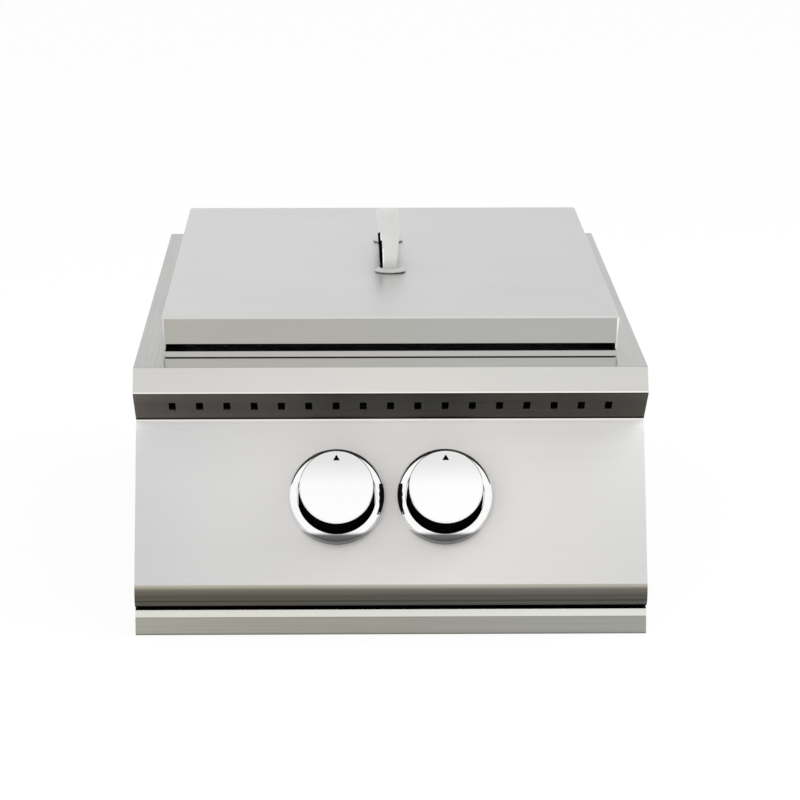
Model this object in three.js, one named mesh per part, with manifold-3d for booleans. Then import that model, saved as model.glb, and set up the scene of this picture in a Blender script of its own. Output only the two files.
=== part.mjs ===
// A built-in double side burner for an outdoor kitchen counter, with a lift-off cover.
// Millimetres. X runs to the right, Y to the back and Z up. The origin lies on the ground under the body.

import * as THREE from "three";
import { mergeVertices } from "three/addons/utils/BufferGeometryUtils.js";
import Module from "manifold-3d";

const wasm = await Module();
wasm.setup();

// Clearances shared by all pieces
const seatGap = 0.3;
const runGap = 0.3;
const overrun = 3;
const mergeReach = 1e-4;

// Overall sizes
const overallWidth = 340;
const deckHeight = 179;
const frontReach = 286.2;
const backReach = 302;
const bodySheet = 1.2;

// The raised rim of the deck, and the pan whose flange lies on it
const rim = { sideInset: 20, backInset: 88.6, rise: 5.9, flange: 12, corner: 3 };
const pan = {
  sheet: 1.2, lip: 4.5, sideLedge: 20, frontLedge: 44, depth: 61.7,
  draft: 3, corner: 14, edgeInset: 0.3,
};

// The front hood: a tucked flange, a sloped strip, a nose and a vent face that runs back under it
const hood = { tuck: 25, slopeRun: 11.2, slopeDrop: 15.8, ventRun: 38.9, ventDrop: 25, lip: 14 };
const vent = { count: 17, endInset: 25.2, width: 4.7, length: 12.9, placeShare: 0.48 };

// The slanted control panel with its rolled lower edge
const panel = { slantDegrees: 25.4, length: 112.9, curlRadius: 12, curlTurnDegrees: 175, flange: 14 };
const cheek = { inset: 0.6, counterFace: 236, curlRoom: 1.1, lowEdge: 12.6, shoulder: 46 };

// The box below the deck
const box = {
  sideInset: 22, backInset: 14, topFlange: 12, slots: 6, slotLength: 60,
  slotHeight: 4, slotPitch: 12,
};
const boxVent = { sideStart: 120, sideLow: 85, rearLow: 80 };
const rearPanel = { inset: 0.8, flange: 12 };
const shield = { reach: 210, low: 20, flange: 12 };

// Knobs, bezels and what turns with them, measured along the axis from the panel's face
const control = { bezelGap: 8.6, down: 54.3, panelHole: 14 };
const bezel = { radius: 31.7, mouth: 26.8, height: 12.5, floor: 1.5, hole: 12, round: 2.6 };
const knob = {
  baseRadius: 25.5, faceRadius: 24.6, low: 6, high: 35, wall: 2.2,
  round: 1.8, hub: 8, hubTop: 28,
};
const stem = {
  radius: 4, flatShare: 0.55, high: 26, low: -24, collarRadius: 6.5,
  collarHigh: -6.7, collar: 2,
};
const washer = { outer: 8.5, thickness: 1.5 };

// Gas valves and the pipes that feed them
const valve = {
  front: 14.5, back: 44, radius: 11, bore: 16, stub: 7, saddle: 9.5,
  saddleHeight: 3, arm: 7, armReach: 9,
};
const valveShape = { endShare: 0.8, backShare: 0.2, noseShare: 0.75, frontShare: 0.3 };
const gasWay = { valve: 2, rail: 3 };
const rail = { depth: 26, drop: 22, radius: 9, bore: 7, leftRun: 34, elbowRun: 19 };
const railBracket = { plugInset: 8, elbowInset: 23, width: 16, sheet: 2, rise: 16, toe: 4 };
const piezo = { radius: 6, front: 16, back: 50, nose: 3, noseLength: 4 };
const feed = { radius: 6, bore: 4.6, sideInset: 14, backInset: 12, start: 14 };
const elbow = { radius: 10 };
const inlet = { hexRadius: 12, hexLength: 9, stubRadius: 9, stubLength: 5, bore: 6.5, nut: 10.5 };
const plug = { hexRadius: 9.5, length: 8, square: 4.5, squareLength: 7 };
const orifice = { hexRadius: 6.5, hexLength: 5.5, root: 4.4, tip: 3.4, length: 14.5, jet: 1 };

// The two burners, one behind the other
const burner = { endInset: 107.8 };
const mixer = { radius: 12, wall: 1.2, bend: 22, rise: 34, sweep: 35, sides: 10 };
const shutter = { wall: 1.2, reach: 14, mouth: 5, windowWidth: 8, windowLength: 7, windowInset: 4 };
const base = {
  neckWall: 2.2, neckHigh: 14.8, neckLow: 32.5, cup: 30, cupHeight: 3,
  flange: 38, flangeHeight: 3, wall: 2.5,
};
const head = {
  neck: 20, bore: 16, radius: 36, wall: 4, floor: 4.5, height: 22,
  neckLength: 7, ports: 18, portWidth: 1.8,
};
const port = { depth: 10 };
const panHole = { clearance: 2 };
const cap = { overhang: 1.5, rim: 3, dome: 5, spigot: 3, spigotGap: 0.8 };
const capDomeShares = [[0.8, 0.6], [0.45, 0.92]];
const igniter = {
  reach: 46, radius: 3, collar: 6, collarHeight: 3, low: 24, high: 21,
  tip: 1.2, tipReach: 7.5,
};
const lead = { radius: 1.6, straight: 8, climb: 24, bend: 3.8, hole: 4.5 };
const leadPass = { outward: 21, z: 62 };

// Grates of round bar
const grate = {
  rod: 3.5, bars: 7, bearing: 8, drop: 5.2, frameInset: 5, split: 9,
  endGap: 2.5, corner: 14, sides: 6,
};

// The cover and its handle
const lid = {
  sheet: 1, overhang: 1.2, rise: 33.9, skirt: 18.2, draftShare: 0.0934,
  corner: 3.6, bend: 2.5, edge: 0.4, notchRun: 7.5,
};
const handle = {
  feet: 141, height: 35, footRadius: 11, footHeight: 3, endWidth: 12,
  midWidth: 18.5, thick: 5, across: 2, forward: 31,
};
const handleShape = { bowShare: 0.62, sectionShare: 0.7, footTopShare: 0.7, footEdgeShare: 0.33 };

// The drip tray and the runners that carry it
const tray = { sheet: 1, face: 299, high: 12, low: 0.3, slope: 4.2, ledge: 15, toe: 12 };
const trayPan = { sideInset: 9, backInset: 48, low: 2, high: 17, lip: 6 };
const runner = { sheet: 1.2, reach: 5.5, height: 9 };

// How finely round forms are cut
const steps = {
  round: 16, knob: 24, small: 10, grip: 8, hex: 6, lead: 5, bend: 2,
  elbow: 3, curl: 12, bow: 18, corner: 3, slot: 2,
};

// Places worked out from the sizes above
const degrees = Math.PI / 180;
const slant = panel.slantDegrees * degrees;
const deckFront = -frontReach;
const underDeck = deckHeight - bodySheet;
const rimWidth = overallWidth - 2 * rim.sideInset;
const rimTop = deckHeight + rim.rise;
const rimBack = backReach - rim.backInset;
const rimLength = rimBack - deckFront;
const rimMiddle = (deckFront + rimBack) / 2;
const ledgeTop = rimTop + seatGap + pan.lip;
const lidTop = deckHeight + lid.rise;
const panFront = deckFront + pan.frontLedge;
const panBack = rimBack - pan.sideLedge;
const panMiddle = (panFront + panBack) / 2;
const panHalfLength = (panBack - panFront) / 2;
const panHalfWidth = rimWidth / 2 - pan.sideLedge;
const panFloor = ledgeTop - pan.depth;
const underPan = panFloor - pan.sheet;
const tuckTop = underDeck - seatGap;
const stripSlope = hood.slopeRun / hood.slopeDrop;
const noseY = deckFront - hood.slopeRun;
const noseZ = deckHeight - hood.slopeDrop;
const panelTopY = noseY + hood.ventRun;
const panelTopZ = noseZ - hood.ventDrop;
const boxFront = -cheek.counterFace;
const boxHalf = overallWidth / 2 - box.sideInset;
const boxBack = backReach - box.backInset;
const knobY = panelTopY - control.down * Math.sin(slant);
const knobZ = panelTopZ - control.down * Math.cos(slant);
const gasHeight = knobZ - valve.back * Math.sin(slant);
const valveBackY = knobY + valve.back * Math.cos(slant);
const armEnd = valveBackY + valve.armReach;
const railY = knobY + rail.depth * Math.cos(slant);
const railZ = gasHeight - rail.drop;
const shieldY = -shield.reach;
const knobSpacing = 2 * bezel.radius + control.bezelGap;
const leadX = knobSpacing / 2 + leadPass.outward;
const feedX = boxHalf - feed.sideInset;
const feedBack = boxBack - feed.backInset;
const railLeft = -knobSpacing / 2 - rail.leftRun;
const railRight = feedX - rail.elbowRun;
const mixerFront = shieldY - shutter.reach;
const burnerPlaces = [panFront + burner.endInset, panBack - burner.endInset];
const trayHalf = boxHalf - trayPan.sideInset;
const trayBack = boxBack - trayPan.backInset;

// The front burner's valve is on the left, and the rear burner's on the right
function igniterSide(index) {
  return index === 0 ? -1 : 1;
}

// Finishes
function metal(colour, roughness, metalness) {
  return new THREE.MeshStandardMaterial({ color: colour, roughness, metalness });
}
const brushed = metal(0xc8c8c6, 0.36, 1);
const shaded = metal(0x8d8d88, 0.42, 1);
const galvanised = metal(0xaeb2b3, 0.5, 1);
const polished = metal(0xe4e4e4, 0.12, 1);
const brass = metal(0xb9955a, 0.34, 1);
const castMetal = metal(0x8a8c8c, 0.6, 1);
const enamel = metal(0x26262a, 0.45, 0);
const ceramic = metal(0xe9e6dd, 0.5, 0);
const silicone = metal(0x8c2f26, 0.6, 0);

// Solids
function closedGeometry(geometry) {
  const bare = geometry.clone();
  bare.deleteAttribute("normal");
  bare.deleteAttribute("uv");
  const merged = mergeVertices(bare, mergeReach);
  const place = merged.getAttribute("position");
  const index = merged.getIndex().array;
  const [a, b, c] = [new THREE.Vector3(), new THREE.Vector3(), new THREE.Vector3()];
  const kept = [];
  let volume = 0;
  for (let i = 0; i < index.length; i += 3) {
    const [p, q, r] = [index[i], index[i + 1], index[i + 2]];
    if (p === q || q === r || r === p) continue;
    a.fromBufferAttribute(place, p);
    b.fromBufferAttribute(place, q);
    c.fromBufferAttribute(place, r);
    volume += a.dot(b.cross(c));
    kept.push(p, q, r);
  }
  if (volume < 0) kept.reverse();
  merged.setIndex(kept);
  return merged;
}

function solidOf(geometry) {
  const merged = closedGeometry(geometry);
  const vertProperties = Float32Array.from(merged.getAttribute("position").array);
  const triVerts = Uint32Array.from(merged.getIndex().array);
  return new wasm.Manifold(new wasm.Mesh({ numProp: 3, vertProperties, triVerts }));
}

function geometryOf(solid) {
  const mesh = solid.getMesh();
  const geometry = new THREE.BufferGeometry();
  geometry.setAttribute("position", new THREE.BufferAttribute(Float32Array.from(mesh.vertProperties), 3));
  geometry.setIndex(Array.from(mesh.triVerts));
  return geometry;
}

function joined(...geometries) {
  return geometryOf(geometries.map(solidOf).reduce((whole, next) => whole.add(next)));
}

function cut(geometry, ...cutters) {
  return geometryOf(cutters.map(solidOf).reduce((whole, next) => whole.subtract(next), solidOf(geometry)));
}

function piece(parent, name, geometry, material) {
  const mesh = new THREE.Mesh(closedGeometry(geometry), material);
  mesh.name = name;
  parent.add(mesh);
  return mesh;
}

// Outlines
function polygon(points) {
  return new THREE.Shape(points.map(([x, y]) => new THREE.Vector2(x, y)));
}

function rectangle(left, low, right, high) {
  return polygon([[left, low], [right, low], [right, high], [left, high]]);
}

function roundedLoop(halfX, halfY, radius, middleY, count = steps.corner) {
  const points = [];
  const corners = [[1, 1], [-1, 1], [-1, -1], [1, -1]];
  corners.forEach(([sideX, sideY], corner) => {
    for (let i = 0; i <= count; i++) {
      const angle = (corner + i / count) * Math.PI / 2;
      const x = sideX * (halfX - radius) + radius * Math.cos(angle);
      const y = sideY * (halfY - radius) + radius * Math.sin(angle);
      points.push([x, y + middleY]);
    }
  });
  return points;
}

const slotRoundShare = 0.98;
const leastCornerShare = 0.05;
function slotOutline(middleX, middleY, halfX, halfY) {
  const radius = Math.min(halfX, halfY) * slotRoundShare;
  const loop = roundedLoop(halfX, halfY, radius, middleY, steps.slot);
  return polygon(loop.map(([x, y]) => [x + middleX, y]));
}

// A path moved sideways, to its left, with its corners kept sharp
function offsetPath(path, distance) {
  return path.map((point, i) => {
    const before = path[Math.max(i - 1, 0)];
    const after = path[Math.min(i + 1, path.length - 1)];
    const into = new THREE.Vector2(point[0] - before[0], point[1] - before[1]);
    const out = new THREE.Vector2(after[0] - point[0], after[1] - point[1]);
    if (into.length() === 0) into.copy(out);
    if (out.length() === 0) out.copy(into);
    into.normalize();
    out.normalize();
    const left = new THREE.Vector2(-into.y - out.y, into.x + out.x).normalize();
    const reach = distance / (left.x * -into.y + left.y * into.x);
    return [point[0] + left.x * reach, point[1] + left.y * reach];
  });
}

function sheetOutline(path, thickness) {
  return polygon([...path, ...offsetPath(path, thickness).reverse()]);
}

// Solids drawn from outlines: across the object, from front to back, and upwards
const acrossBasis = new THREE.Matrix4().makeBasis(
  new THREE.Vector3(0, 1, 0),
  new THREE.Vector3(0, 0, 1),
  new THREE.Vector3(1, 0, 0),
);

function extruded(shape, depth) {
  return new THREE.ExtrudeGeometry(shape, { depth, bevelEnabled: false, curveSegments: steps.corner });
}

function acrossX(shape, left, right) {
  return extruded(shape, right - left).applyMatrix4(acrossBasis).translate(left, 0, 0);
}

function alongY(shape, front, back) {
  return extruded(shape, back - front).rotateX(Math.PI / 2).translate(0, back, 0);
}

function upZ(shape, low, high) {
  return extruded(shape, high - low).translate(0, 0, low);
}

function block(low, high) {
  return upZ(rectangle(low[0], low[1], high[0], high[1]), low[2], high[2]);
}

// A turned solid round Z, from a closed profile of radius and height
function turned(profile, count = steps.round) {
  const points = [...profile, profile[0]].map(([radius, height]) => new THREE.Vector2(radius, height));
  return new THREE.LatheGeometry(points, count).rotateX(Math.PI / 2);
}

function disc(radius, low, high, count = steps.round) {
  return turned([[0, low], [radius, low], [radius, high], [0, high]], count);
}

// The same, lying along Y
function discAlongY(radius, front, back, x, z, count = steps.round) {
  return disc(radius, -back, -front, count).rotateX(Math.PI / 2).translate(x, 0, z);
}

function discAlongX(radius, left, right, y, z, count = steps.round) {
  return disc(radius, left, right, count).rotateY(Math.PI / 2).translate(0, y, z);
}

// A ring swept round a rounded rectangle, from a closed profile of inset and height
function loopRing(profile, halfX, halfY, radius, middleY) {
  const rings = profile.map(([inset, height]) => {
    const corner = Math.max(radius - inset, radius * leastCornerShare);
    return roundedLoop(halfX - inset, halfY - inset, corner, middleY).map(([x, y]) => [x, y, height]);
  });
  const count = rings[0].length;
  const index = [];
  rings.forEach((ring, i) => {
    const next = (i + 1) % rings.length;
    for (let j = 0; j < count; j++) {
      const k = (j + 1) % count;
      const [a, b, c, d] = [i * count + j, i * count + k, next * count + k, next * count + j];
      index.push(a, b, c, a, c, d);
    }
  });
  const geometry = new THREE.BufferGeometry();
  geometry.setAttribute("position", new THREE.Float32BufferAttribute(rings.flat(2), 3));
  geometry.setIndex(index);
  return geometry;
}

// A path whose sections stand at chosen points, so that straight runs need only two
class ChosenPath extends THREE.Curve {
  constructor(points) {
    super();
    this.points = points;
  }

  getPointAt(share, target = new THREE.Vector3()) {
    return target.copy(this.points[Math.round(share * (this.points.length - 1))]);
  }

  getTangentAt(share, target = new THREE.Vector3()) {
    const last = this.points.length - 1;
    const i = Math.round(share * last);
    const [before, after] = [Math.max(i, 1), Math.min(i, last - 1) + 1];
    const into = this.points[before].clone().sub(this.points[before - 1]).normalize();
    const out = this.points[after].clone().sub(this.points[after - 1]).normalize();
    return target.copy(into.add(out).normalize());
  }
}

// A path through corner points, with each corner rounded over the given reach
function roundedPath(corners, reach) {
  const points = [corners[0]];
  for (let i = 1; i < corners.length - 1; i++) {
    const enter = corners[i].clone().sub(corners[i - 1]).setLength(-reach).add(corners[i]);
    const leave = corners[i + 1].clone().sub(corners[i]).setLength(reach).add(corners[i]);
    points.push(...new THREE.QuadraticBezierCurve3(enter, corners[i], leave).getPoints(steps.elbow));
  }
  return new ChosenPath([...points, corners[corners.length - 1]]);
}

function ringShape(radius, bore, sides) {
  const circle = (size) => Array.from({ length: sides }, (_, i) => {
    const angle = 2 * Math.PI * i / sides;
    return [size * Math.cos(angle), size * Math.sin(angle)];
  });
  const shape = polygon(circle(radius));
  const inner = circle(bore).reverse().map(([x, y]) => new THREE.Vector2(x, y));
  if (bore > 0) shape.holes.push(new THREE.Path(inner));
  return shape;
}

function tubeAlong(path, radius, bore, sides) {
  return new THREE.ExtrudeGeometry(ringShape(radius, bore, sides), {
    steps: path.points.length - 1,
    extrudePath: path,
    bevelEnabled: false,
  });
}

// The profile of the hood and the panel, in Y and Z, with the sheet to the left of the path
const stripTopY = deckFront - (deckHeight - tuckTop) * stripSlope;
const hoodPath = [
  [stripTopY + hood.tuck, tuckTop],
  [stripTopY, tuckTop],
  [noseY, noseZ],
  [panelTopY, panelTopZ + seatGap],
  [panelTopY + hood.lip, panelTopZ + seatGap],
];
const panelFoot = [panelTopY - panel.length * Math.sin(slant), panelTopZ - panel.length * Math.cos(slant)];
const curlMiddle = [
  panelFoot[0] + panel.curlRadius * Math.cos(slant),
  panelFoot[1] - panel.curlRadius * Math.sin(slant),
];

function curlPath() {
  const start = Math.PI - slant;
  return Array.from({ length: steps.curl + 1 }, (_, i) => {
    const angle = start + panel.curlTurnDegrees * degrees * i / steps.curl;
    const [out, rise] = [panel.curlRadius * Math.cos(angle), panel.curlRadius * Math.sin(angle)];
    return [curlMiddle[0] + out, curlMiddle[1] + rise];
  });
}

const panelPath = [[panelTopY + panel.flange, panelTopZ], [panelTopY, panelTopZ], ...curlPath()];

// A piece on the panel: its own Z leaves the panel's face, square to it, from the middle of a knob
function onPanel(side) {
  const group = new THREE.Group();
  group.position.set(side * knobSpacing / 2, knobY, knobZ);
  group.rotation.x = Math.PI / 2 - slant;
  group.updateMatrix();
  return group;
}

const object = new THREE.Group();
const half = overallWidth / 2;

// Deck frame: flat flanges with a hem folded under them, and a low rim with a flange turned inwards
function deckFrame() {
  const plate = rectangle(-half, deckFront, half, backReach);
  const [halfX, halfY] = [rimWidth / 2, rimLength / 2];
  const hole = roundedLoop(halfX - bodySheet, halfY - bodySheet, rim.corner - bodySheet, rimMiddle);
  const plateSolid = upZ(plate, underDeck, deckHeight);
  const opening = upZ(polygon(hole), underDeck - overrun, deckHeight + overrun);
  const profile = [
    [0, underDeck],
    [0, rimTop],
    [rim.flange, rimTop],
    [rim.flange, rimTop - bodySheet],
    [bodySheet, rimTop - bodySheet],
    [bodySheet, underDeck],
  ];
  const wall = loopRing(profile, halfX, halfY, rim.corner, rimMiddle);
  const hemInside = boxHalf + box.topFlange + 2 * seatGap;
  const hem = polygon([
    [-half, boxFront + seatGap],
    [-half, backReach],
    [half, backReach],
    [half, boxFront + seatGap],
    [hemInside, boxFront + seatGap],
    [hemInside, boxBack + 2 * seatGap],
    [-hemInside, boxBack + 2 * seatGap],
    [-hemInside, boxFront + seatGap],
  ]);
  return joined(cut(plateSolid, opening), wall, upZ(hem, underDeck - bodySheet, underDeck));
}
piece(object, "deck_frame", deckFrame(), brushed);

// Front hood, with its row of upright slots through the vent face
function frontHood() {
  const body = acrossX(sheetOutline(hoodPath, bodySheet), -half, half);
  const faceAngle = Math.atan2(hood.ventDrop, hood.ventRun);
  const middleY = noseY + hood.ventRun * vent.placeShare;
  const middleZ = noseZ - hood.ventDrop * vent.placeShare;
  const pitch = (overallWidth - 2 * vent.endInset) / (vent.count - 1);
  const slots = Array.from({ length: vent.count }, (_, i) => {
    const x = (i - (vent.count - 1) / 2) * pitch;
    const outline = rectangle(-vent.width / 2, -vent.length / 2, vent.width / 2, vent.length / 2);
    return upZ(outline, -overrun, overrun).rotateX(-faceAngle).translate(x, middleY, middleZ);
  });
  return cut(body, ...slots);
}
piece(object, "front_hood", frontHood(), shaded);

// Control panel, with a hole for each stem
function controlPanel() {
  const body = acrossX(sheetOutline(panelPath, bodySheet), -half, half);
  const holes = [-1, 1].map((side) => {
    return disc(control.panelHole, -bodySheet - overrun, overrun).applyMatrix4(onPanel(side).matrix);
  });
  return cut(body, ...holes);
}
piece(object, "control_panel", controlPanel(), brushed);

// Cheeks: they close the head's sides and turn inwards to stop against the counter's face
function cheekPlate(side) {
  const outer = [hoodPath[1], hoodPath[2], [panelTopY, panelTopZ], panelFoot];
  const inner = offsetPath(outer, bodySheet + seatGap);
  const top = tuckTop - bodySheet - seatGap;
  const shoulderY = inner[3][0] + (cheek.shoulder - inner[3][1]) * Math.tan(slant);
  const behindCurl = curlMiddle[0] + panel.curlRadius + cheek.curlRoom;
  const stripFrontY = inner[1][0] + (top - inner[1][1]) * stripSlope;
  const outline = polygon([
    [boxFront, top],
    [stripFrontY, top],
    inner[1],
    inner[2],
    [shoulderY, cheek.shoulder],
    [behindCurl, cheek.shoulder],
    [behindCurl, cheek.lowEdge],
    [boxFront, cheek.lowEdge],
  ]);
  const outside = half - cheek.inset;
  const plate = acrossX(outline, outside - bodySheet, outside);
  const turnedInFrom = [boxHalf + seatGap, boxFront - bodySheet, cheek.lowEdge];
  const turnedIn = block(turnedInFrom, [outside, boxFront, top]);
  const lips = block(
    [0, panelTopY - overrun, panelTopZ - bodySheet - seatGap],
    [half, panelTopY + hood.lip + seatGap, panelTopZ + bodySheet + 2 * seatGap],
  );
  const whole = cut(joined(plate, turnedIn), lips);
  return side > 0 ? whole : whole.scale(-1, 1, 1);
}
piece(object, "left_cheek", cheekPlate(-1), brushed);
piece(object, "right_cheek", cheekPlate(1), brushed);

// Body shell: a floor and two sides folded from one sheet, with flanges under the deck
function bodyShell() {
  const [side, low, high] = [boxHalf, 0, tuckTop - bodySheet];
  const path = [
    [-side - box.topFlange, high],
    [-side, high],
    [-side, low],
    [side, low],
    [side, high],
    [side + box.topFlange, high],
  ];
  const shell = alongY(sheetOutline(path, bodySheet), boxFront + seatGap, boxBack);
  const slots = Array.from({ length: box.slots }, (_, i) => {
    const height = boxVent.sideLow + i * box.slotPitch;
    const outline = slotOutline(boxVent.sideStart, height, box.slotLength / 2, box.slotHeight / 2);
    return acrossX(outline, -side - overrun, side + overrun);
  });
  return cut(shell, ...slots);
}
piece(object, "body_shell", bodyShell(), galvanised);

// Rear panel: a plate with its edges turned to the front, vent slots and the hole for the gas inlet
function rearPanelSheet() {
  const side = boxHalf - bodySheet - seatGap;
  const [low, high] = [bodySheet + seatGap, tuckTop - rearPanel.inset];
  const back = boxBack - rearPanel.inset;
  const plate = block([-side, back - bodySheet, low], [side, back, high]);
  const flanges = [-1, 1].map((way) => {
    const [from, to] = way < 0 ? [-side, -side + bodySheet] : [side - bodySheet, side];
    return block([from, back - rearPanel.flange, low], [to, back, high]);
  });
  const slots = Array.from({ length: box.slots }, (_, i) => {
    const outline = slotOutline(0, boxVent.rearLow + i * box.slotPitch, box.slotLength, box.slotHeight / 2);
    return alongY(outline, back - bodySheet - overrun, back + overrun);
  });
  const holeFront = back - bodySheet - overrun;
  const pipeHole = discAlongY(inlet.stubRadius + runGap, holeFront, back + overrun, feedX, railZ);
  return cut(joined(plate, ...flanges), ...slots, pipeHole);
}
piece(object, "rear_panel", rearPanelSheet(), galvanised);

// Heat shield behind the controls, with holes for the mixing tubes, the feed pipe and the leads
function heatShield() {
  const side = boxHalf - bodySheet - seatGap;
  const high = underPan - seatGap;
  const plate = block([-side, shieldY, shield.low], [side, shieldY + bodySheet, high]);
  const flanges = [-1, 1].map((way) => {
    const [from, to] = way < 0 ? [-side, -side + bodySheet] : [side - bodySheet, side];
    return block([from, shieldY, shield.low], [to, shieldY + shield.flange, high]);
  });
  const topFlange = block([-side, shieldY, high - bodySheet], [side, shieldY + shield.flange, high]);
  const [front, back] = [shieldY - overrun, shieldY + bodySheet + overrun];
  const holes = [-1, 1].flatMap((way) => [
    discAlongY(mixer.radius + runGap, front, back, way * knobSpacing / 2, gasHeight),
    discAlongY(lead.hole, front, back, way * leadX, leadPass.z, steps.small),
  ]);
  const pipeHole = discAlongY(feed.radius + runGap, front, back, feedX, railZ, steps.small);
  return cut(joined(plate, ...flanges, topFlange), ...holes, pipeHole);
}
piece(object, "heat_shield", heatShield(), galvanised);

// Burner pan: a flange whose lip stands on the rim, drafted walls and a floor with the burners' holes
function burnerPan() {
  const flangeHalfX = rimWidth / 2 - pan.edgeInset;
  const flangeHalfY = rimLength / 2 - pan.edgeInset;
  const flangeLoop = roundedLoop(flangeHalfX, flangeHalfY, rim.corner, rimMiddle);
  const flange = upZ(polygon(flangeLoop), ledgeTop - pan.sheet, ledgeTop);
  const lipProfile = [
    [0, ledgeTop - pan.lip],
    [0, ledgeTop - pan.sheet],
    [pan.sheet, ledgeTop - pan.sheet / 2],
    [pan.sheet, ledgeTop - pan.lip],
  ];
  const lip = loopRing(lipProfile, flangeHalfX, flangeHalfY, rim.corner, rimMiddle);
  const mouthLoop = roundedLoop(panHalfWidth, panHalfLength, pan.corner, panMiddle);
  const mouth = upZ(polygon(mouthLoop), ledgeTop - pan.sheet - overrun, ledgeTop + overrun);
  const wallProfile = [
    [-pan.sheet, ledgeTop - pan.sheet],
    [0, ledgeTop],
    [pan.sheet / 2, ledgeTop - pan.sheet],
    [pan.draft, panFloor],
    [pan.draft, underPan],
    [pan.draft - pan.sheet, underPan],
  ];
  const walls = loopRing(wallProfile, panHalfWidth, panHalfLength, pan.corner, panMiddle);
  const inset = pan.draft - pan.sheet;
  const floorLoop = roundedLoop(panHalfWidth - inset, panHalfLength - inset, pan.corner, panMiddle);
  const floor = upZ(polygon(floorLoop), underPan, panFloor);
  const holes = burnerPlaces.flatMap((place, i) => [
    disc(head.neck + panHole.clearance, underPan - overrun, panFloor + overrun).translate(0, place, 0),
    disc(igniter.radius + runGap, underPan - overrun, panFloor + overrun, steps.small)
      .translate(igniterSide(i) * igniter.reach, place, 0),
  ]);
  return cut(joined(cut(flange, mouth), lip, walls, floor), ...holes);
}

piece(object, "burner_pan", burnerPan(), brushed);

// Grates: a bent frame of round bar, with crossbars that lie on the side ledges
function barGrate(front, back) {
  const apothem = grate.rod * Math.cos(Math.PI / grate.sides);
  const barZ = ledgeTop + seatGap + apothem;
  const frameZ = barZ - grate.drop;
  const halfX = panHalfWidth - grate.frameInset;
  const halfY = (back - front) / 2;
  const middle = (front + back) / 2;
  const ring = Array.from({ length: grate.sides }, (_, i) => {
    const angle = 2 * Math.PI * (i + 0.5) / grate.sides;
    return [grate.rod * Math.cos(angle), frameZ + grate.rod * Math.sin(angle)];
  });
  const frame = loopRing(ring, halfX - grate.rod, halfY - grate.rod, grate.corner, middle);
  const reach = panHalfWidth + grate.bearing;
  const pitch = 2 * (halfY - grate.corner) / (grate.bars - 1);
  const bars = Array.from({ length: grate.bars }, (_, i) => {
    const y = middle + (i - (grate.bars - 1) / 2) * pitch;
    const bar = disc(grate.rod, -reach, reach, grate.sides).rotateZ(Math.PI / 2 - Math.PI / grate.sides);
    return bar.rotateY(Math.PI / 2).translate(0, y, barZ);
  });
  return joined(frame, ...bars);
}
piece(object, "front_grate", barGrate(panFront + grate.endGap, panMiddle - grate.split / 2), polished);
piece(object, "rear_grate", barGrate(panMiddle + grate.split / 2, panBack - grate.endGap), polished);

// One burner, built round its own middle
function burnerGroup(index) {
  const name = ["front", "rear"][index];
  const group = new THREE.Group();
  group.position.y = burnerPlaces[index];

  const flangeTop = underPan - seatGap;
  const neckBore = mixer.radius + runGap;
  const baseProfile = [
    [neckBore, underPan - base.neckLow],
    [neckBore + base.neckWall, underPan - base.neckLow],
    [neckBore + base.neckWall, underPan - base.neckHigh],
    [base.cup, flangeTop - base.flangeHeight - base.cupHeight],
    [base.cup, flangeTop - base.flangeHeight],
    [base.flange, flangeTop - base.flangeHeight],
    [base.flange, flangeTop],
    [base.cup - base.wall, flangeTop],
    [base.cup - base.wall, flangeTop - base.flangeHeight - base.cupHeight + base.wall / 2],
    [neckBore, underPan - base.neckHigh + base.wall],
  ];
  piece(group, `${name}_burner_base`, turned(baseProfile), castMetal);

  const headLow = panFloor + seatGap;
  const headTop = headLow + head.height;
  const headProfile = [
    [head.bore, headLow - head.neckLength],
    [head.neck, headLow - head.neckLength],
    [head.neck, headLow],
    [head.radius - head.wall / 2, headLow],
    [head.radius, headLow + head.wall / 2],
    [head.radius, headTop],
    [head.radius - head.wall, headTop],
    [head.radius - head.wall, headLow + head.floor],
    [head.bore, headLow + head.floor],
  ];
  const portCuts = Array.from({ length: head.ports / 2 }, (_, i) => {
    const [reach, side] = [head.radius + overrun, head.portWidth / 2];
    return block([-reach, -side, headTop - port.depth], [reach, side, headTop + overrun])
      .rotateZ(2 * Math.PI * (i + 0.5) / head.ports);
  });
  piece(group, `${name}_burner_head`, cut(turned(headProfile), ...portCuts), brass);

  const capLow = headTop + seatGap;
  const capRadius = head.radius + cap.overhang;
  const spigot = head.radius - head.wall - cap.spigotGap;
  const capProfile = [
    [0, capLow],
    [spigot - cap.spigot, capLow],
    [spigot - cap.spigot, capLow - cap.spigot],
    [spigot, capLow - cap.spigot],
    [spigot, capLow],
    [capRadius, capLow],
    [capRadius, capLow + cap.rim],
    ...capDomeShares.map(([out, rise]) => [capRadius * out, capLow + cap.rim + cap.dome * rise]),
    [0, capLow + cap.rim + cap.dome],
  ];
  piece(group, `${name}_burner_cap`, turned(capProfile), enamel);

  const seat = panFloor + seatGap;
  const postProfile = [
    [0, panFloor - igniter.low],
    [igniter.radius, panFloor - igniter.low],
    [igniter.radius, seat],
    [igniter.collar, seat],
    [igniter.collar, seat + igniter.collarHeight],
    [igniter.radius, seat + igniter.collarHeight],
    [igniter.radius, panFloor + igniter.high],
    [0, panFloor + igniter.high],
  ];
  const side = igniterSide(index);
  const tipZ = panFloor + igniter.high - igniter.radius;
  const tip = discAlongX(igniter.tip, -igniter.tipReach, 0, 0, tipZ, steps.hex);
  const electrode = joined(turned(postProfile, steps.small), tip);
  if (side < 0) electrode.scale(-1, 1, 1);
  piece(group, `${name}_igniter`, electrode.translate(side * igniter.reach, 0, 0), ceramic);
  return group;
}
burnerPlaces.forEach((_, index) => object.add(burnerGroup(index)));

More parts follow.
